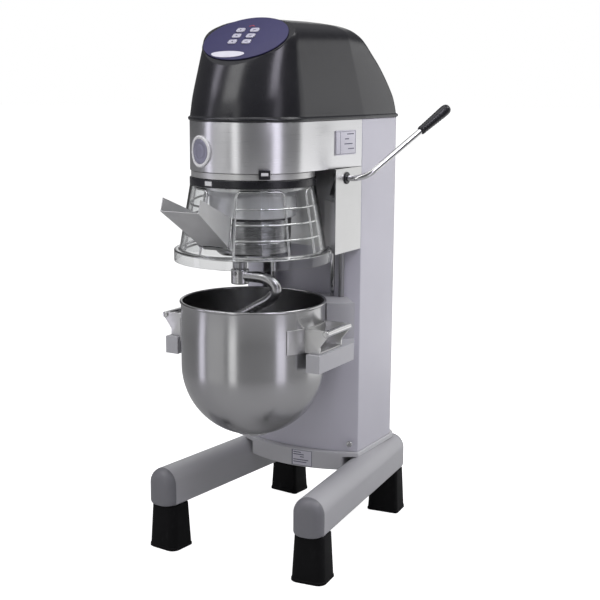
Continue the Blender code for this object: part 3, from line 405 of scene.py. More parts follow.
def pillow(outline, z0, z1, r, steps=5):
    """Prism whose two ends are rounded over by r."""
    loops = []
    for k in range(steps + 1):
        a = math.pi / 2 * k / steps
        loops.append([(x, y, z0 + r * (1 - math.sin(a))) for x, y in inset(outline, r * (1 - math.cos(a)))])
    loops = loops[::-1]
    loops += [[(x, y, z0 + z1 - z) for x, y, z in loop] for loop in loops[::-1]]
    return loft(loops)


def box(x0, x1, y0, y1, z0, z1):
    return prism([(x0, y0), (x1, y0), (x1, y1), (x0, y1)], z0, z1)


def arc(cx, cy, r, a0, a1, n):
    steps = [math.radians(a0 + (a1 - a0) * i / n) for i in range(n + 1)]
    return [(cx + r * math.cos(a), cy + r * math.sin(a)) for a in steps]


def circle(cx, cy, r, n):
    return arc(cx, cy, r, 0.0, 360.0, n)[:-1]


def soften(points, radii, steps=5, closed=True):
    """Rounds the corners of an outline; radii is one number or one for each point."""
    count = len(points)
    radii = radii if isinstance(radii, (list, tuple)) else [radii] * count
    out = []
    for i, (p, r) in enumerate(zip(points, radii)):
        p = Vector(p)
        if r <= 0.0 or (not closed and i in (0, count - 1)):
            out.append(tuple(p))
            continue
        to_a, to_b = Vector(points[i - 1]) - p, Vector(points[(i + 1) % count]) - p
        cut_back = min(r, to_a.length * 0.48, to_b.length * 0.48)
        a, b = p + to_a.normalized() * cut_back, p + to_b.normalized() * cut_back
        for k in range(steps + 1):
            t = k / steps
            out.append(tuple(a * (1 - t) ** 2 + p * 2 * t * (1 - t) + b * t * t))
    return out


def revolve(profile, n=144, centre=(0.0, 0.0), span=None):
    a0, a1 = span or (0.0, 360.0)
    loops = []
    for i in range(n + 1 if span else n):
        a = math.radians(a0 + (a1 - a0) * i / n)
        loops.append([(centre[0] + r * math.cos(a), centre[1] + r * math.sin(a), z) for r, z in profile])
    bm = loft(loops, closed=not span)
    if min(r for r, z in profile) < 0.01:
        bmesh.ops.remove_doubles(bm, verts=bm.verts[:], dist=0.01)
    return bm


def pipe(path, radii, n=16, closed=False):
    pts = [Vector(p) for p in path]
    radii = radii if isinstance(radii, (list, tuple)) else [radii] * len(pts)
    count = len(pts)
    tangents = []
    for i in range(count):
        a = pts[i - 1] if (i or closed) else pts[0]
        b = pts[(i + 1) % count] if (i < count - 1 or closed) else pts[-1]
        tangents.append((b - a).normalized())
    side = Vector((0, 0, 1)) if closed else tangents[0].orthogonal().normalized()
    loops = []
    for p, t, r in zip(pts, tangents, radii):
        side = (side - t * side.dot(t)).normalized()
        other = t.cross(side)
        loops.append([tuple(p + side * (r * math.cos(a)) + other * (r * math.sin(a)))
                      for a in (2 * math.pi * k / n for k in range(n))])
    return loft(loops, closed=closed)


def rod(p0, p1, r, n=40, edge=0.0):
    """Straight round bar with its two ends rounded over by `edge`."""
    p0, p1 = Vector(p0), Vector(p1)
    way = (p1 - p0).normalized()
    path, radii = [], []
    for k in range(6 if edge else 1):
        a = math.pi / 2 * k / 5
        path.append(p0 + way * edge * (1 - math.sin(a)))
        radii.append(r - edge * (1 - math.cos(a)))
    path, radii = path[::-1], radii[::-1]
    ends = [(p1 - (p - p0), radius) for p, radius in zip(path, radii)]
    path += [p for p, radius in ends[::-1]]
    radii += [radius for p, radius in ends[::-1]]
    return pipe(path, radii, n)


def smooth_path(points, per=10):
    """Catmull-Rom curve through the points."""
    pts = [Vector(p) for p in points]
    pts = [2 * pts[0] - pts[1]] + pts + [2 * pts[-1] - pts[-2]]
    out = []
    for a, b, c, d in zip(pts, pts[1:], pts[2:], pts[3:]):
        for k in range(per):
            t = k / per
            out.append(0.5 * (2 * b + (c - a) * t + (2 * a - 5 * b + 4 * c - d) * t * t
                              + (3 * b - a - 3 * c + d) * t ** 3))
    out.append(pts[-2])
    return out


QUARTERS = ((1, 1, 0), (-1, 1, 90), (-1, -1, 180), (1, -1, 270))


def rounded_rect(a, b, r, n=8):
    out = []
    for sx, sy, start in QUARTERS:
        out += arc(sx * (a - r), sy * (b - r), r, start, start + 90, n)
    return out


def along_x(bm, x0, y, z):
    """Lays a solid of revolution about Z along +X, from x0 through (y, z)."""
    turn = Matrix(((0, 0, 1, x0), (1, 0, 0, y), (0, 1, 0, z), (0, 0, 0, 1)))
    bmesh.ops.transform(bm, matrix=turn, verts=bm.verts[:])
    return bm


def polar(radius, angle, z):
    return (radius * math.cos(angle), radius * math.sin(angle), z)


# ---------------------------------------------------------------- base and column

def leg_frame(side):
    front = Vector((side * LEG_FRONT_X, LEG_FRONT_Y))
    back = Vector((side * LEG_BACK_X, LEG_BACK_Y))
    along = (back - front).normalized()
    return front, back, along, Vector((along.y, -along.x))


def leg_section(shrink=0.0):
    h, r = LEG_HALF - shrink, 7.0
    low, mid = LEG_BOTTOM + min(shrink, 1.0), LEG_TOP - LEG_HALF
    right = arc(h - r, low + r, r, -90.0, 0.0, 6)
    left = arc(-h + r, low + r, r, 180.0, 270.0, 6)
    return right + arc(0.0, mid, h, 0.0, 180.0, 40) + left


def leg_bar(side, end, stations):
    """Leg section carried through (distance past the end, shrink) stations."""
    front, back, along, across = leg_frame(side)
    start, way = (front, -along) if end == "front" else (back, along)
    loops = []
    for t, shrink in stations:
        loops.append([(*(start + way * t + across * u), z) for u, z in leg_section(shrink)])
    return loft(loops)


def cap_stations(count=12):
    """Rounded nose of a leg cap: a quarter ellipse from its open end to its tip."""
    out = []
    for a in (math.pi / 2 * k / count for k in range(count + 1)):
        out.append((CAP_OUT - CAP_DEEP * (1.0 - math.sin(a)), 0.3 + CAP_DEEP * (1.0 - math.cos(a))))
    return out


def foot_outline(a, b, nose):
    """Plan of a foot, rounder at the end that faces the cap's nose (nose is -1 in front, 1 behind)."""
    out = []
    for sx, sy, start in QUARTERS:
        r = 17.0 if sy == nose else 7.0
        out += arc(sx * (a - r), sy * (b - r), r, start, start + 90, 10)
    return out


def build_base():
    for side, name in ((-1, "left"), (1, "right")):
        front, back, along, across = leg_frame(side)
        length = (back - front).length
        short = CAP_OUT - CAP_DEEP - GAP
        tube = leg_bar(side, "front", [(-length - short, 0.0), (-length / 2, 0.0), (short, 0.0)])
        piece(f"leg_{name}_tube", tube, "leg_paint", "frame", [f"leg_{name}"])
        for end in ("front", "back"):
            piece(f"leg_cap_{end}_{name}_hood", leg_bar(side, end, cap_stations()), "cap_grey", "frame",
                  [f"leg_cap_{end}_{name}"], sharp=50.0)
            way = along if end == "front" else -along
            centre = (front if end == "front" else back) + way * FOOT_SETBACK
            loops = []
            top = LEG_BOTTOM - GAP
            for z, grow in ((0.0, -1.2), (1.2, 0.0), (6.0, 0.0), (7.0, -0.9), (top - 1.2, 0.0), (top, -1.2)):
                k = z / top
                a = FOOT_FLOOR[0] + (FOOT_TOP[0] - FOOT_FLOOR[0]) * k + grow
                b = FOOT_FLOOR[1] + (FOOT_TOP[1] - FOOT_FLOOR[1]) * k + grow
                outline = foot_outline(a, b, -1 if end == "front" else 1)
                loops.append([(*(centre + across * u + along * v), z) for u, v in outline])
            piece(f"foot_{end}_{name}_rubber", loft(loops), "rubber_black", "frame", [f"foot_{end}_{name}"],
                  sharp=30.0)
    build_base_block()


def build_base_block():
    def leg_inner(y):
        t = (y - LEG_FRONT_Y) / (LEG_BACK_Y - LEG_FRONT_Y)
        return LEG_FRONT_X + (LEG_BACK_X - LEG_FRONT_X) * t - LEG_HALF - 2.0

    low, high = [], []
    for x, y in column_outline(10.0):
        high.append((x, y))
        limit = leg_inner(y)
        low.append((max(-limit, min(limit, x)), y))
    step = LEG_TOP + GAP
    loops = [[(x, y, z) for x, y in plan] for plan, z in
             ((inset(low, 2.0), BASE_BOTTOM), (low, BASE_BOTTOM + 2.0), (low, step), (high, step),
              (high, BASE_TOP - 1.0), (inset(high, 1.0), BASE_TOP))]
    piece("base_block", loft(loops), "base_paint", "frame", ["base_casting"])
    front = [(x, y) for x, y in column_outline(10.0, 288) if y < 200.0]

    def sheet(x0, x1, z0, z1, t0, t1):
        plan = [(x, y) for x, y in front if x0 <= x <= x1]
        return prism([(x, y - t0) for x, y in plan] + [(x, y - t1) for x, y in plan[::-1]], z0, z1)
    x0, x1, z0, z1 = 4.0, 53.0, 151.0, 186.0
    piece("base_sticker", sheet(x0, x1, z0, z1, 0.15, 0.6), "label_pale", "frame")
    bars = [(x0, x1, z0, z0 + 0.8), (x0, x1, z1 - 0.8, z1), (x0, x0 + 2.6, z0, z1), (x1 - 2.6, x1, z0, z1)]
    for z, start, end in ((180.0, 8.0, 27.0), (175.0, 8.0, 34.0), (170.0, 24.0, 34.0), (163.0, 8.0, 44.0),
                          (158.0, 8.0, 40.0)):
        bars.append((start, end, z, z + 1.8))
    piece("base_sticker_print", merged(*[sheet(*bar, 0.55, 0.75) for bar in bars]), "print_dark", "frame")


def column_outline(grow=0.0, front_points=64, round_by=5.0):
    """Counter-clockwise plan: bowed front, flat sides, rounded back."""
    half, front, corner = COL_HALF + grow * 0.5, COL_FRONT_Y - grow * 1.7, COL_CORNER_Y - grow * 0.6
    back, r = COL_BACK_Y + grow * 0.5, COL_BACK_R
    sag = corner - front
    radius = (half * half + sag * sag) / (2 * sag)
    out = []
    for i in range(front_points + 1):
        x = half * (2 * i / front_points - 1)
        out.append((x, front + radius - math.sqrt(radius * radius - x * x)))
    out += arc(half - r, back - r, r, 0.0, 90.0, 16) + arc(-half + r, back - r, r, 90.0, 180.0, 16)
    return soften(out, [round_by if i in (0, front_points) else 0.0 for i in range(len(out))], 6)


def build_column():
    tools = [cut("core", prism(inset(column_outline(round_by=0.0), COL_WALL), COL_BOTTOM - 5, COL_TOP + 5)),
             cut("slot", box(-WINDOW_HALF, WINDOW_HALF, 100, 205, WINDOW_Z, PANEL_Z + 5)),
             cut("gap", box(-138.2, 138.2, 100, 205, PANEL_Z, COL_TOP + 5))]
    skin = prism(column_outline(), COL_BOTTOM, COL_TOP)
    piece("column_skin", skin, "white_paint", "frame", ["column_shell"], cuts=tools, bevel=0.8)
    for side, name in ((-1, "left"), (1, "right")):
        x = side * ROD_X
        bar = rod((x, ROD_Y, ROD_Z0), (x, ROD_Y, ROD_Z1), ROD_R, 48, 1.0)
        piece(f"guide_rod_{name}_bar", bar, "chrome", "frame", [f"guide_rod_{name}"])
    slide = box(-96.0, 96.0, 234.0, 236.0, WINDOW_Z - 8, PANEL_Z + 12)
    piece("column_slide_liner", slide, "white_paint", "frame", bevel=0.4)
    upper = box(-88.0, 98.0, 167.5, 169.5, PANEL_Z + 1, SKIRT_Z0 - 1)
    piece("column_upper_liner", upper, "sheet_steel", "frame", bevel=0.4)
    y = COL_FRONT_Y + 25.0
    spot, way = Vector((129.0, y - 6.2, 208.0)), Vector((0.33, -0.944, 0.0))
    head = rod(spot, spot + way * 5.6, 6.6, 40, 2.0)
    slot_cut = cut("screw_slot", rod(spot + way * 3.6, spot + way * 8.0, 2.4, 6))
    piece("column_screw_head", head, "chrome", "frame", ["column_screw"], cuts=[slot_cut])


# ---------------------------------------------------------------- head

def head_outline(d=0.0, back=COL_CORNER_Y - 2.1):
    """U-shaped plan of the head, inset by d, open side at the back."""
    r, half = HEAD_R - d, COL_HALF - d
    reach = math.hypot(half, COL_CORNER_Y)
    a = math.degrees(math.atan2(COL_CORNER_Y, half) - math.acos(r / reach))
    x_back = half - (COL_CORNER_Y - back) * 0.075
    return arc(0.0, 0.0, r, -180.0 - a, a, 120) + [(x_back, back), (-x_back, back)]


def level_value(z, values):
    """Smooth curve through the values at the cover's levels."""
    levels = COVER_LEVELS
    if z >= levels[-1]:
        return values[-1]
    i = max(k for k in range(len(levels) - 1) if levels[k] <= z) if z > levels[0] else 0

    def rate(k):
        a, b = max(0, k - 1), min(len(levels) - 1, k + 1)
        return (values[b] - values[a]) / (levels[b] - levels[a])
    h = levels[i + 1] - levels[i]
    t = (z - levels[i]) / h
    return ((2 * t ** 3 - 3 * t * t + 1) * values[i] + (t ** 3 - 2 * t * t + t) * h * rate(i)
            + (3 * t * t - 2 * t ** 3) * values[i + 1] + (t ** 3 - t * t) * h * rate(i + 1))


def cover_outline(z, d=0.0):
    """Plan of the cover at height z, inset by d: elliptical front, sides to a crease, falling back."""
    wide = level_value(z, (126.0, 124.5, 121.5, 113.0, 108.5, 104.0, 97.0, 84.0, 64.0, 34.0)) - d
    deep = level_value(z, (126.0, 122.0, 114.0, 96.0, 82.0, 70.0, 58.0, 44.0, 30.0, 14.0)) - d
    half = level_value(z, (142.0, 140.0, 136.0, 128.0, 123.0, 118.5, 113.0, 103.0, 84.0, 48.0)) - d
    crease = level_value(z, (213.0, 210.0, 204.0, 195.0, 188.0, 182.0, 176.0, 166.0, 152.0, 130.0))
    rear = level_value(z, (142.0, 140.0, 136.0, 126.0, 118.5, 112.0, 106.0, 96.0, 76.0, 42.0)) - d
    back = level_value(z, (400.0, 398.0, 388.0, 352.0, 322.0, 288.0, 264.0, 244.0, 216.0, 180.0)) - d
    front = [math.radians(-180.0 + 2.0 * i) for i in range(91)]
    out = [(wide * math.cos(a), deep * math.sin(a)) for a in front]
    first = len(out)
    out.append((half, crease))
    corner = min(COL_BACK_R, (back - crease) * 0.45, rear * 0.6)
    out += arc(rear - corner, back - corner, corner, 0.0, 90.0, 14)
    out += arc(-rear + corner, back - corner, corner, 90.0, 180.0, 14)
    out.append((-half, crease))
    return soften(out, [3.5 if i in (first, len(out) - 1) else 0.0 for i in range(len(out))], 5)


def slope_frame():
    """Matrix of the sloped face: local X across, local Y up the slope, local Z outwards."""
    return Matrix.Translation((0.0, SLOPE_Y, SLOPE_Z)) @ Matrix.Rotation(SLOPE, 4, "X")


def on_slope(bm):
    bmesh.ops.transform(bm, matrix=slope_frame(), verts=bm.verts[:])
    return bm


def panel_ellipse(grow, n=128):
    a, b = PANEL_A + grow, PANEL_B + grow
    return [(a * math.cos(t), b * math.sin(t)) for t in (2 * math.pi * k / n for k in range(n))]


def build_cover():
    bead = []
    for k in range(9):
        a = math.pi * k / 8
        z = COVER_LEVELS[0] + 4.0 * (1 - math.cos(a))
        bead.append([(x, y, z) for x, y in cover_outline(COVER_LEVELS[0], -3.0 * math.sin(a))])
    count = 60
    levels = [920.5 + (COVER_LEVELS[-1] - 920.5) * k / count for k in range(count + 1)]
    outer = loft(bead + [[(x, y, z) for x, y in cover_outline(z)] for z in levels])
    inner_levels = [905.0] + [912.0 + (1056.0 - 912.0) * k / 16 for k in range(17)]
    inner_levels += [1062.0 + (COVER_LEVELS[-1] - 1062.0) * k / 8 for k in range(9)]
    core = cutter("cover_core", loft([[(x, y, z - (COVER_T if z > 1060.0 else 0.0)) for x, y in
                                       cover_outline(max(z, 911.0), COVER_T)] for z in inner_levels]))
    inner_slope = cutter("slope_inner", on_slope(box(-200, 200, -160, 160, -COVER_T, 120)))
    add_boolean(core, inner_slope, "DIFFERENCE")
    settle(core)
    tools = [cut("slope", on_slope(box(-200, 200, -160, 160, 0, 120))),
             join("seat", on_slope(pillow(panel_ellipse(PANEL_RIM), -24, -0.02, 1.2))),
             (core, "DIFFERENCE")]
    piece("cover_shell", outer, "cover_plastic", "frame", ["head_cover"], sharp=28.0, cuts=tools)


def button_spot(k):
    return KEY_U[k % 2], KEY_V[k // 2]


def build_panel():
    top = GAP + PANEL_T
    wells = []
    for k in range(6):
        u, v = button_spot(k)
        wells.append(on_slope(prism([(u + x, v + y) for x, y in rounded_rect(*KEY_WELL)], 1.0, top + 2)))
    piece("panel_plate", on_slope(pillow(panel_ellipse(0.0), GAP, top, 0.9)), "panel_violet", "frame",
          ["control_panel"], sharp=40.0, cuts=[cut("wells", merged(*wells))])
    for k in range(6):
        build_button(k, top)
    crescent = []
    for i in range(72):
        a = 2.0 * math.pi * i / 72
        rise = CRESCENT_RISE if i < 36 else CRESCENT_DROP
        crescent.append((CRESCENT_U + CRESCENT_HALF * math.cos(a), CRESCENT_V + rise * math.sin(a)))
    label = on_slope(prism(crescent, top + 0.3, top + 1.0))
    piece("panel_crescent", label, "label_pale", "frame", ["panel_label"])
    roof = [(-6.5, 0.0), (0.0, 3.2), (6.5, 0.0), (6.5, 1.9), (0.0, 5.1), (-6.5, 1.9)]
    mark = [(x - 3.0, 37.0 + y) for x, y in roof]
    piece("panel_mark", on_slope(prism(mark, top - 0.05, top + 0.35)), "mark_red", "frame")


def build_button(k, top):
    """Sprung key with a plain printed mark, a bar or a dot."""
    u, v = button_spot(k)
    outline = [(u + x, v + y) for x, y in rounded_rect(*KEY_CAP)]
    piece(f"key_{k + 1}_cap", on_slope(pillow(outline, 2.2, top + 1.8, 0.7)), "button_grey", f"key_{k + 1}",
          [f"button_{k + 1}"], sharp=50.0)
    mark = rounded_rect(3.4, 0.9, 0.8) if k % 2 else circle(0.0, 0.0, 1.9, 24)
    shape = [(u + x, v + y) for x, y in mark]
    piece(f"key_{k + 1}_mark", on_slope(prism(shape, top + 1.7, top + 1.88)), "print_dark", f"key_{k + 1}")


def build_head():
    core = cut("skirt_core", prism(head_outline(SKIRT_T, COL_CORNER_Y + 20), SKIRT_Z0 - 5, SKIRT_Z1 + 5))
    piece("skirt_sheet", prism(head_outline(), SKIRT_Z0, SKIRT_Z1), "brushed_steel", "frame", ["head_skirt"],
          cuts=[core], bevel=0.7)
    rim = soften([(24.6, 0.4), (31.0, 0.4), (31.0, 3.4), (28.6, 4.4), (24.6, 3.2)], [0.1, 0.2, 1.4, 1.4, 0.4])
    wrapped_disc("badge_ring_moulding", rim, "white_plastic", "badge_ring")
    face = [(0.0, 3.0), (8.0, 3.0), (14.0, 3.0), (14.2, 2.8), (15.0, 2.8), (15.2, 3.0), (20.0, 3.0),
            (23.4, 3.0), (24.1, 2.4), (24.1, 0.5), (16.0, 0.5), (8.0, 0.5), (0.0, 0.5)]
    wrapped_disc("badge_disc_plate", face, "badge_grey", "badge_disc")
    low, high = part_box("rating_plate")
    build_rating_plate((low - AXIS) / MM, (high - AXIS) / MM)
    build_latch()


def wrapped_disc(name, profile, mat, node):
    """Turned shape bent onto the skirt's curve at the front left."""
    bm = revolve(profile, 96)
    for vert in bm.verts:
        u, v, w = vert.co
        angle = BADGE_ANGLE + u / HEAD_R
        vert.co = Vector(polar(HEAD_R + w, angle, BADGE_Z + v))
    return piece(name, bm, mat, "frame", [node], sharp=50.0)


def build_rating_plate(low, high):
    """Blank data plate on the right flank: a pale sheet with a printed border and plain bars."""
    tilt = (COL_HALF - HEAD_R) / COL_CORNER_Y

    def sheet(y0, y1, z0, z1, t0, t1):
        base = HEAD_R + tilt * low.y + 0.9
        x0, x1 = base + tilt * (y0 - low.y), base + tilt * (y1 - low.y)
        return prism([(x0 + t0, y0), (x0 + t1, y0), (x1 + t1, y1), (x1 + t0, y1)], z0, z1)
    plate = sheet(low.y, high.y, low.z, high.z, 0.0, 0.9)
    piece("rating_sheet", plate, "label_pale", "frame", ["rating_plate"], bevel=0.3)
    y0, y1, z0, z1 = low.y + 2.0, high.y - 2.0, low.z + 2.0, high.z - 2.0
    bars = [(y0, y1, z0, z0 + 0.7), (y0, y1, z1 - 0.7, z1), (y0, y0 + 0.9, z0, z1), (y1 - 0.9, y1, z0, z1),
            (y0 + 15.0, y0 + 16.0, z0, z1)]
    for share, start, length in ((0.2, 0.62, 0.3), (0.42, 0.42, 0.42), (0.64, 0.45, 0.2), (0.85, 0.55, 0.36)):
        z = z0 + (z1 - z0) * share
        bars.append((y0 + (y1 - y0) * start, y0 + (y1 - y0) * (start + length), z, z + 2.0))
    piece("rating_print", merged(*[sheet(*bar, 0.85, 1.02) for bar in bars]), "print_dark", "frame")


def build_latch():
    """Black sensor block under the skirt, with a thin white plate on its face that paints the block's
    highlight.
    """
    low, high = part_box("guard_sensor")
    z0, z1 = low.z / MM, high.z / MM

    def block(half, r0, r1, z_low, z_high):
        out = Vector((math.cos(LATCH_ANGLE), math.sin(LATCH_ANGLE)))
        side = Vector((-out.y, out.x))
        corners = ((-half, r0), (half, r0), (half, r1), (-half, r1))
        return prism([tuple(out * r + side * u) for u, r in corners], z_low, z_high)
    piece("sensor_block", block(11.0, HEAD_R + 1.6, HEAD_R + 7.2, z0, z1), "black_plastic", "frame",
          ["guard_sensor"], bevel=1.0)
    # Thin white plate on the block's face: a painted highlight where the black block shines, not a separate
    # part.
    piece("sensor_painted_highlight", block(7.0, HEAD_R + 6.8, HEAD_R + 7.8, z0 + 7.0, z1 - 5.0), "white_plastic", "frame",
          bevel=0.3)


# ---------------------------------------------------------------- guard

def guard_radius(z):
    return GUARD_R0 + (GUARD_R1 - GUARD_R0) * (RING_Z0 - z) / (RING_Z0 - GUARD_Z1)


def chute_solid(grow, past_mouth=0.0, past_end=0.0, taller=0.0):
    (y0, z0, w0), (y1, z1, w1) = CHUTE_MOUTH, CHUTE_END
    loops = []
    for y, t in ((y0 - past_mouth, -past_mouth), (y1 + past_end, y1 - y0 + past_end)):
        k = t / (y1 - y0)
        w, z = w0 + (w1 - w0) * k + grow, z0 + (z1 - z0) * k - grow * 1.2
        top = z0 + (z1 - z0) * k + CHUTE_WALLS[0] + (CHUTE_WALLS[1] - CHUTE_WALLS[0]) * k + taller
        lean = CHUTE_LEAN * (1.0 - max(0.0, min(1.0, k)))
        loops.append([(-w, y, z), (w, y, z), (w, y + lean, top), (-w, y + lean, top)])
    return loft(loops)


def build_guard():
    collar = soften([(100.5, 776.0), (113.5, 776.0), (113.5, 783.6), (107.5, 783.6), (107.5, 800.4),
                     (124.0, 800.4), (124.0, 812.4), (121.0, 813.0), (121.0, 814.4), (100.5, 814.4)], 0.8, 3)
    piece("collar_band", revolve(collar, 160), "collar_steel", "frame", ["guard_collar"])
    ring = soften([(109.0, 784.4), (RING_R, 784.4), (RING_R, RING_Z1), (109.0, RING_Z1)], 1.6, 4)
    piece("guard_ring_band", revolve(ring, 160), "black_plastic", "guard", ["guard_ring"])
    corners = ((-0.2, -0.07), (0.5, -0.07), (0.5, 0.07), (-0.2, 0.07))
    plan = [polar(RING_R + d, TAB_ANGLE + s, 0.0)[:2] for d, s in corners]
    tab = prism(plan, RING_Z0 + 3.0, RING_Z1 - 3.0)
    piece("guard_ring_tab", tab, "white_plastic", "guard")
    top, lip = RING_Z0 - 1.0, GUARD_Z1
    profile = soften([(GUARD_R0 - GUARD_T, top), (GUARD_R0 - 0.2, top), (GUARD_R1, lip), (FLANGE_R, lip),
                      (FLANGE_R, FLANGE_Z), (FLANGE_R - 2.6, FLANGE_Z), (FLANGE_R - 2.6, lip - 3.2),
                      (GUARD_R1 - GUARD_T, lip - 3.2)], [0.6, 0.6, 4.0, 3.0, 1.2, 1.2, 2.0, 3.0], 4)
    span = (-90.0 - GUARD_ARC, -90.0 + GUARD_ARC)
    piece("guard_shell", revolve(profile, 200, span=span), "clear_plastic", "guard", ["guard_screen"],
          cuts=[cut("chute_hole", chute_solid(1.2, 0.0, 12.0, 2.0))])
    build_rib()
    build_cage()


def build_rib():
    """Raised clear rib on the screen below the sensor."""
    loops = []
    for k in range(13):
        z = RING_Z0 - 4.0 + (GUARD_Z1 + 6.0 - RING_Z0) * k / 12
        r = guard_radius(z)
        corners = ((-7.5, 0.1), (7.5, 0.1), (7.5, 2.2), (-7.5, 2.2))
        loops.append([polar(r + d, LATCH_ANGLE + s / r, z) for s, d in corners])
    piece("guard_rib", loft(loops), "clear_plastic", "guard", bevel=0.6)


def build_cage():
    """Inverted-U wires joined by hoops, the lowest passing below the chute."""
    def ring_path(z, a0, a1, n):
        r = guard_radius(z) - HOOP_GAP
        return [(x, y, z) for x, y in arc(0, 0, r, a0 - 90.0, a1 - 90.0, n)]
    wires = [pipe(ring_path(LOW_HOOP, -CAGE_END, CAGE_END, 120), WIRE_R, 12)]
    for z in HOOPS:
        for a0, a1 in ((-CAGE_END, -CHUTE_CLEAR), (CHUTE_CLEAR, CAGE_END)):
            wires.append(pipe(ring_path(z, a0, a1, 50), HOOP_R, 12))
    for a0, a1 in WIRE_SPANS:
        path = []
        corner = [(a0, 646.5), (a0, 700.0), (a0, 752.0), (a0, 768.0), (a0 + 2.2, 775.5), (a0 + 6.0, 777.5)]
        corner += [(a0 + (a1 - a0) * k / 6, 777.5) for k in (2, 3, 4)]
        corner += [(a1 - 6.0, 777.5), (a1 - 2.2, 775.5), (a1, 768.0), (a1, 752.0), (a1, 700.0), (a1, 646.5)]
        for a, z in corner:
            path.append(polar(guard_radius(z) - WIRE_GAP, math.radians(a - 90.0), z))
        wires.append(pipe(smooth_path(path, 5), WIRE_R, 12))
    piece("cage_wires", merged(*wires), "wire_steel", "guard", ["guard_cage"], sharp=60.0)


# ---------------------------------------------------------------- drive

def build_drive():
    drum = soften([(70.5, 719.0), (86.0, 719.0), (88.0, 721.0), (89.0, 762.0), (98.0, 772.0), (98.0, 814.4),
                   (90.0, 814.4), (85.2, 752.0), (81.5, 752.0), (81.5, 725.0), (70.5, 725.0)],
                  [0.5, 0.8, 0.8, 5.0, 5.0, 0.5, 0.5, 0.5, 0.5, 0.5, 0.5], 4)
    piece("drum_housing", revolve(drum, 144), "cast_alu", "frame")
    groove = [(0.0, 642.0), (68.0, 642.0), (76.0, 650.0), (76.6, 670.0), (75.2, 671.5), (75.2, 674.0),
              (76.8, 675.5), (78.0, 714.0), (76.0, 716.0), (0.0, 716.0)]
    shape = soften(groove, [0.0, 3.0, 3.0, 0.6, 0.6, 0.6, 0.6, 1.0, 0.5, 0.0], 4, closed=False)
    tool_seat = cut("tool_seat", prism(circle(0, -ORBIT, TOOL_R + 0.6, 48), 630.0, 730.0))
    shaft_seat = cut("shaft_seat", prism(circle(0, 0, 14.5, 48), 690.0, 720.0))
    piece("carrier_drum", revolve(shape, 144), "carrier_grey", "planetary", ["planet_carrier"],
          cuts=[tool_seat, shaft_seat])
    build_hook()


def build_hook():
    y = -ORBIT
    points = [(0, y, 604), (30, y, 605), (58, y + 1, 603), (78, y + 3, 592), (79, y + 5, 575),
              (63, y + 7, 558), (34, y + 8, 541), (0, y + 7, 521), (-38, y + 3, 499), (-64, y, 473),
              (-63, y - 3, 446), (-42, y - 5, 420), (-14, y - 3, 401), (2, y, 394)]
    path = smooth_path(points, 12)
    ends = [HOOK_R * math.sqrt(max(0.04, 1 - (k / 12) ** 2)) for k in range(13)]
    bar = pipe(path, [HOOK_R] * (len(path) - len(ends)) + ends, 40)
    bore = TOOL_R + 0.6
    sleeve = soften([(bore, 595.2), (bore, SLEEVE_Z1), (SLEEVE_R, SLEEVE_Z1), (SLEEVE_R, SLEEVE_Z0),
                     (0.0, SLEEVE_Z0), (0.0, 595.2)], [0.3, 0.8, 1.6, 2.4, 0.0, 0.0], 5)
    pin_hole = cut("pin_hole", rod((0, y - 24, 610), (0, y + 24, 610), 3.6))
    piece("hook_bar", revolve(sleeve, 96, (0.0, y)), "hook_steel", "tool", ["dough_hook"],
          cuts=[pin_hole, join("hook_rod", bar)])
    collar = soften([(TOOL_R + 0.05, 624.0), (14.5, 624.0), (14.5, 634.0), (TOOL_R + 0.05, 634.0)], 1.0, 4)
    piece("tool_shaft_ring", revolve(collar, 80, (0.0, y)), "gear_steel", "tool")


# ---------------------------------------------------------------- bowl and lift

def bowl_wall(r, steps=30):
    """Outer (radius, z) points from rim to foot: straight wall over a round bottom."""
    centre = BOWL_Z + BOWL_R
    out = [(r, RIM_Z - 7.0), (r, (RIM_Z + centre) / 2), (r, centre)]
    for k in range(1, steps + 1):
        a = math.radians(77.0 * k / steps)
        out.append((r * math.cos(a), centre - r * math.sin(a)))
    return out


def build_bowl():
    bead_r = 3.1
    centre = (BOWL_R - 0.5, RIM_Z - bead_r)
    bead = arc(*centre, bead_r, 170.0, -75.0, 18)
    outer = bowl_wall(BOWL_R)
    inner = bowl_wall(BOWL_R - BOWL_T)[::-1]
    last = outer[-1][0]
    foot = [(last, BOWL_Z + 0.8), (last - 0.8, BOWL_Z), (last - 3.2, BOWL_Z), (last - 4.0, BOWL_Z + 0.8),
            (last - 4.0, inner[0][1] - BOWL_T)]
    profile = bead + outer + foot + [(0.0, foot[-1][1]), (0.0, inner[0][1])] + inner
    piece("bowl_shell", revolve(profile, 180), "bowl_steel", "lift", ["bowl"], sharp=40.0)
    for side, name in ((-1, "left"), (1, "right")):
        build_handle(side, name)


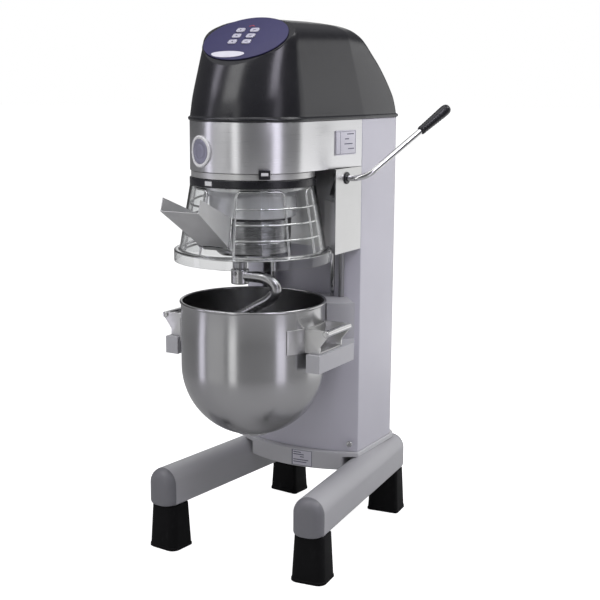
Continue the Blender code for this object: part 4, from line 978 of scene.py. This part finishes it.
def build_handle(side, name):
    """Two gusset plates and a floor plate joined by a round bar at the upper corners."""
    low, high = ARM_TOP + GAP, HANDLE_TOP

    def plate(y, t=2.5):
        x0 = math.sqrt((BOWL_R + GAP) ** 2 - (abs(y) + t) ** 2) + 0.9
        outline = soften([(x0, low), (178.0, low), (178.0, low + 14.0), (HANDLE_X, high - 12.0),
                          (HANDLE_X, high), (x0, high)], [0.0, 1.5, 2.0, 2.0, 3.0, 0.0], 4)
        return loft([[(side * x, yy, z) for x, z in outline] for yy in (y - t, y + t)])
    piece(f"handle_{name}_front", plate(-38.0), "sheet_steel", "lift", [f"handle_{name}"], bevel=0.7)
    piece(f"handle_{name}_rear", plate(52.0), "sheet_steel", "lift", bevel=0.7)
    inner = [(x + 1.0, y) for x, y in arc(0, 0, BOWL_R + GAP, -14.0, 20.0, 16)]
    floor = inner + [(177.0, inner[-1][1]), (177.0, inner[0][1])]
    shelf = prism([(side * x, y) for x, y in floor][::side], low, low + 3.0)
    piece(f"handle_{name}_floor", shelf, "sheet_steel", "lift", bevel=0.5)
    turn = (-32.0, 21.0) if side > 0 else (159.0, 212.0)
    pad = [(BOWL_R + GAP, low), (BOWL_R + 2.3, low), (BOWL_R + 2.3, high), (BOWL_R + GAP, high)]
    pad = revolve(pad, 40, span=turn)
    piece(f"handle_{name}_pad", pad, "sheet_steel", "lift", bevel=0.5)
    x, z = side * (HANDLE_X - 3.0), high - 6.0
    bar = rod((x, -43.5, z), (x, 57.5, z), 6.5, 48, 2.0)
    piece(f"handle_{name}_bar", bar, "chrome", "lift")


def build_lever():
    start, bend = Vector((LEVER_START_X, LEVER_Y, LEVER_Z)), Vector((LEVER_BEND_X, LEVER_Y, LEVER_Z))
    tip = Vector(LEVER_TIP)
    way = (tip - bend).normalized()
    a, b = bend - Vector((BEND_REACH, 0, 0)), bend + way * BEND_REACH
    path = [start]
    for t in (k / 24 for k in range(25)):
        path.append(a * (1 - t) ** 2 + bend * 2 * t * (1 - t) + b * t * t)
    grip_start = tip - way * GRIP_LONG
    path.append(grip_start + way * 70.0)
    piece("lever_bar", pipe(path, LEVER_R, 40), "chrome", "lever", ["lever_rod"])
    stations = [(0.0, 6.8), (0.2, 8.0), (1.0, 8.7), (5.0, 9.2)]
    for k in range(8):
        t, r = 8.0 + 6.0 * k, 9.3 + 0.22 * k
        stations += [(t, r + 0.15), (t + 1.5, r - 0.25), (t + 4.0, r - 0.25)]
    stations += [(60.0, 11.2), (72.0, 11.2), (77.0, 10.6), (80.5, 9.2), (82.8, 7.0), (83.8, 4.0)]
    stations.append((GRIP_LONG, 1.0))
    turn = way.to_track_quat("Z", "Y").to_matrix()
    loops = [[tuple(grip_start + way * t + turn @ Vector((x, y, 0))) for x, y in circle(0, 0, r, 56)]
             for t, r in stations]
    piece("lever_handle", loft(loops), "black_plastic", "lever", ["lever_grip"], sharp=50.0)
    bush = soften([(LEVER_R + 0.6, -4.0), (10.2, -4.0), (10.2, 0.4), (12.5, 0.4), (12.5, 1.8), (11.5, 2.8),
                   (LEVER_R + 0.6, 2.8)], [0.0, 0.3, 0.1, 0.3, 0.4, 0.6, 0.4], 4)
    piece("lever_bush_ring", along_x(revolve(bush, 72), COL_HALF, LEVER_Y, LEVER_Z), "black_plastic", "frame",
          ["lever_bush"])


# ---------------------------------------------------------------- kept CAD nodes

def dress(obj, mat, bevel):
    """Gives a kept CAD node its material and a fine edge bevel."""
    mesh = obj.data
    mesh.materials.clear()
    mesh.materials.append(MATERIALS[mat])
    if "custom_normal" in mesh.attributes:
        mesh.attributes.remove(mesh.attributes["custom_normal"])
    weld = obj.modifiers.new("weld", "WELD")
    weld.merge_threshold = 0.00001
    planes = obj.modifiers.new("planes", "DECIMATE")
    planes.decimate_type, planes.angle_limit = "DISSOLVE", math.radians(0.4)
    add_bevel(obj, bevel, 2, 35.0)
    mesh.shade_smooth()
    normals = obj.modifiers.new("normals", "WEIGHTED_NORMAL")
    normals.keep_sharp = True


def dress_kept():
    finish_of = {"side_panel_left": "sheet_steel", "side_panel_right": "sheet_steel", "chute": "chute_steel"}
    widths = {"bowl_cradle": 1.6, "rail_bracket": 0.8, "side_panel_left": 0.5, "side_panel_right": 0.5}
    for name, obj in frame["nodes"].items():
        if not obj.hide_render:
            dress(obj, finish_of.get(name, SLOTS[name]), widths.get(name, 0.3))


# ---------------------------------------------------------------- studio

def build_camera():
    data = bpy.data.cameras.new("camera")
    data.sensor_width, data.lens = 36.0, LENS
    camera = bpy.data.objects.new("camera", data)
    camera.location = AXIS + Vector(CAMERA_PLACE)
    heading, tilt, roll = (math.radians(v) for v in CAMERA_TURN)
    turn = Matrix.Rotation(heading, 3, "Z") @ Matrix.Rotation(tilt, 3, "X") @ Matrix.Rotation(roll, 3, "Z")
    camera.rotation_euler = turn.to_euler()
    bpy.context.scene.collection.objects.link(camera)
    bpy.context.scene.camera = camera


def add_light(name, data, place, turn):
    """Places a light by metres from the bowl axis and hides it from the camera."""
    light = bpy.data.objects.new(name, data)
    light.location = AXIS + Vector(place)
    light.rotation_euler = turn
    light.visible_camera = False
    bpy.context.scene.collection.objects.link(light)


def softbox(name, azimuth, half_angle, radiance, heights, colour):
    """Upright softbox round the mixer; azimuth 0 is in front of it and 90 on the lever side."""
    a = math.radians(azimuth)
    z0, z1 = heights
    data = bpy.data.lights.new(name, "AREA")
    data.shape = "RECTANGLE"
    data.size = 2 * BOX_DISTANCE * math.tan(math.radians(half_angle))
    data.size_y = z1 - z0
    data.energy = radiance * math.pi * data.size * data.size_y
    data.color = colour
    place = (math.sin(a) * BOX_DISTANCE, 0.1 - math.cos(a) * BOX_DISTANCE, (z0 + z1) / 2)
    add_light(name, data, place, (math.radians(90.0), 0.0, a))


def overhead(name, place, aim, size, radiance):
    """Square softbox above the mixer, turned towards aim."""
    data = bpy.data.lights.new(name, "AREA")
    data.shape = "SQUARE"
    data.size = size
    data.energy = radiance * math.pi * size * size
    add_light(name, data, place, (Vector(aim) - Vector(place)).to_track_quat("-Z", "Y").to_euler())


def build_world():
    """White backdrop for the camera; for light and reflections a grey room, brightest above."""
    bpy.context.scene.view_settings.view_transform = "Standard"
    world = bpy.data.worlds.new("studio")
    bpy.context.scene.world = world
    world.use_nodes = True
    tree = world.node_tree
    tree.nodes.clear()
    place = add_node(tree, "ShaderNodeTexCoord").outputs["Generated"]
    height = add_node(tree, "ShaderNodeSeparateXYZ", {0: place}).outputs["Z"]
    share = add_node(tree, "ShaderNodeMapRange", {"Value": height, "From Min": -1.0, "From Max": 1.0})
    ramp = add_node(tree, "ShaderNodeValToRGB", {"Fac": share.outputs[0]})
    while len(ramp.color_ramp.elements) < len(ROOM_LEVELS):
        ramp.color_ramp.elements.new(0.5)
    for element, (position, level) in zip(ramp.color_ramp.elements, ROOM_LEVELS):
        element.position, element.color = position, (level, level, level * 1.03, 1.0)
    room = add_node(tree, "ShaderNodeBackground", {0: ramp.outputs[0]}).outputs[0]
    backdrop = add_node(tree, "ShaderNodeBackground", {0: (1.0, 1.0, 1.0, 1.0)}).outputs[0]
    seen = add_node(tree, "ShaderNodeLightPath").outputs["Is Camera Ray"]
    mixed = add_node(tree, "ShaderNodeMixShader", {0: seen, 1: room, 2: backdrop}).outputs[0]
    add_node(tree, "ShaderNodeOutputWorld", {"Surface": mixed})


def build_lights():
    for row in SOFTBOXES:
        softbox(*row)
    overhead("key", (1.9, 1.1, 2.9), (0.0, 0.1, 0.3), 1.3, 4.5)
    overhead("top_box", (-0.3, -0.2, 3.3), (0.0, 0.1, 0.5), 2.0, 1.2)


def build_floor():
    """Wide white disc, lit up for the camera alone so that it meets the backdrop."""
    floor_mesh = bmesh.new()
    bmesh.ops.create_circle(floor_mesh, cap_ends=True, segments=64, radius=40.0)
    mesh = bpy.data.meshes.new("floor")
    floor_mesh.to_mesh(mesh)
    floor_mesh.free()
    floor = bpy.data.objects.new("floor", mesh)
    floor.location.z = -0.0005
    bpy.context.scene.collection.objects.link(floor)
    s = textured("floor_white", (0.55, 0.55, 0.55), 0.8, 0.0, (0.99, 1.01, 2.0), (0.03, 5.0),
                 (30.0, 0.02, 0.001), **{"Specular IOR Level": 0.0})
    path = s.node("ShaderNodeLightPath")
    seen = s.node("ShaderNodeMath", {0: path.outputs["Is Camera Ray"], 1: FLOOR_GLOW}, operation="MULTIPLY")
    s.set(**{"Emission Color": (1.0, 1.0, 1.0, 1.0)})
    s.link("Emission Strength", seen.outputs[0])
    mesh.materials.append(s.mat)


SLOTS = {part["node"]: part["material_slot"] for part in frame["record"]["subparts"]}
make_materials()
build_camera()
build_world()
build_lights()
build_floor()
build_base()
build_column()
build_cover()
build_panel()
build_head()
build_guard()
build_drive()
build_bowl()
build_lever()
dress_kept()
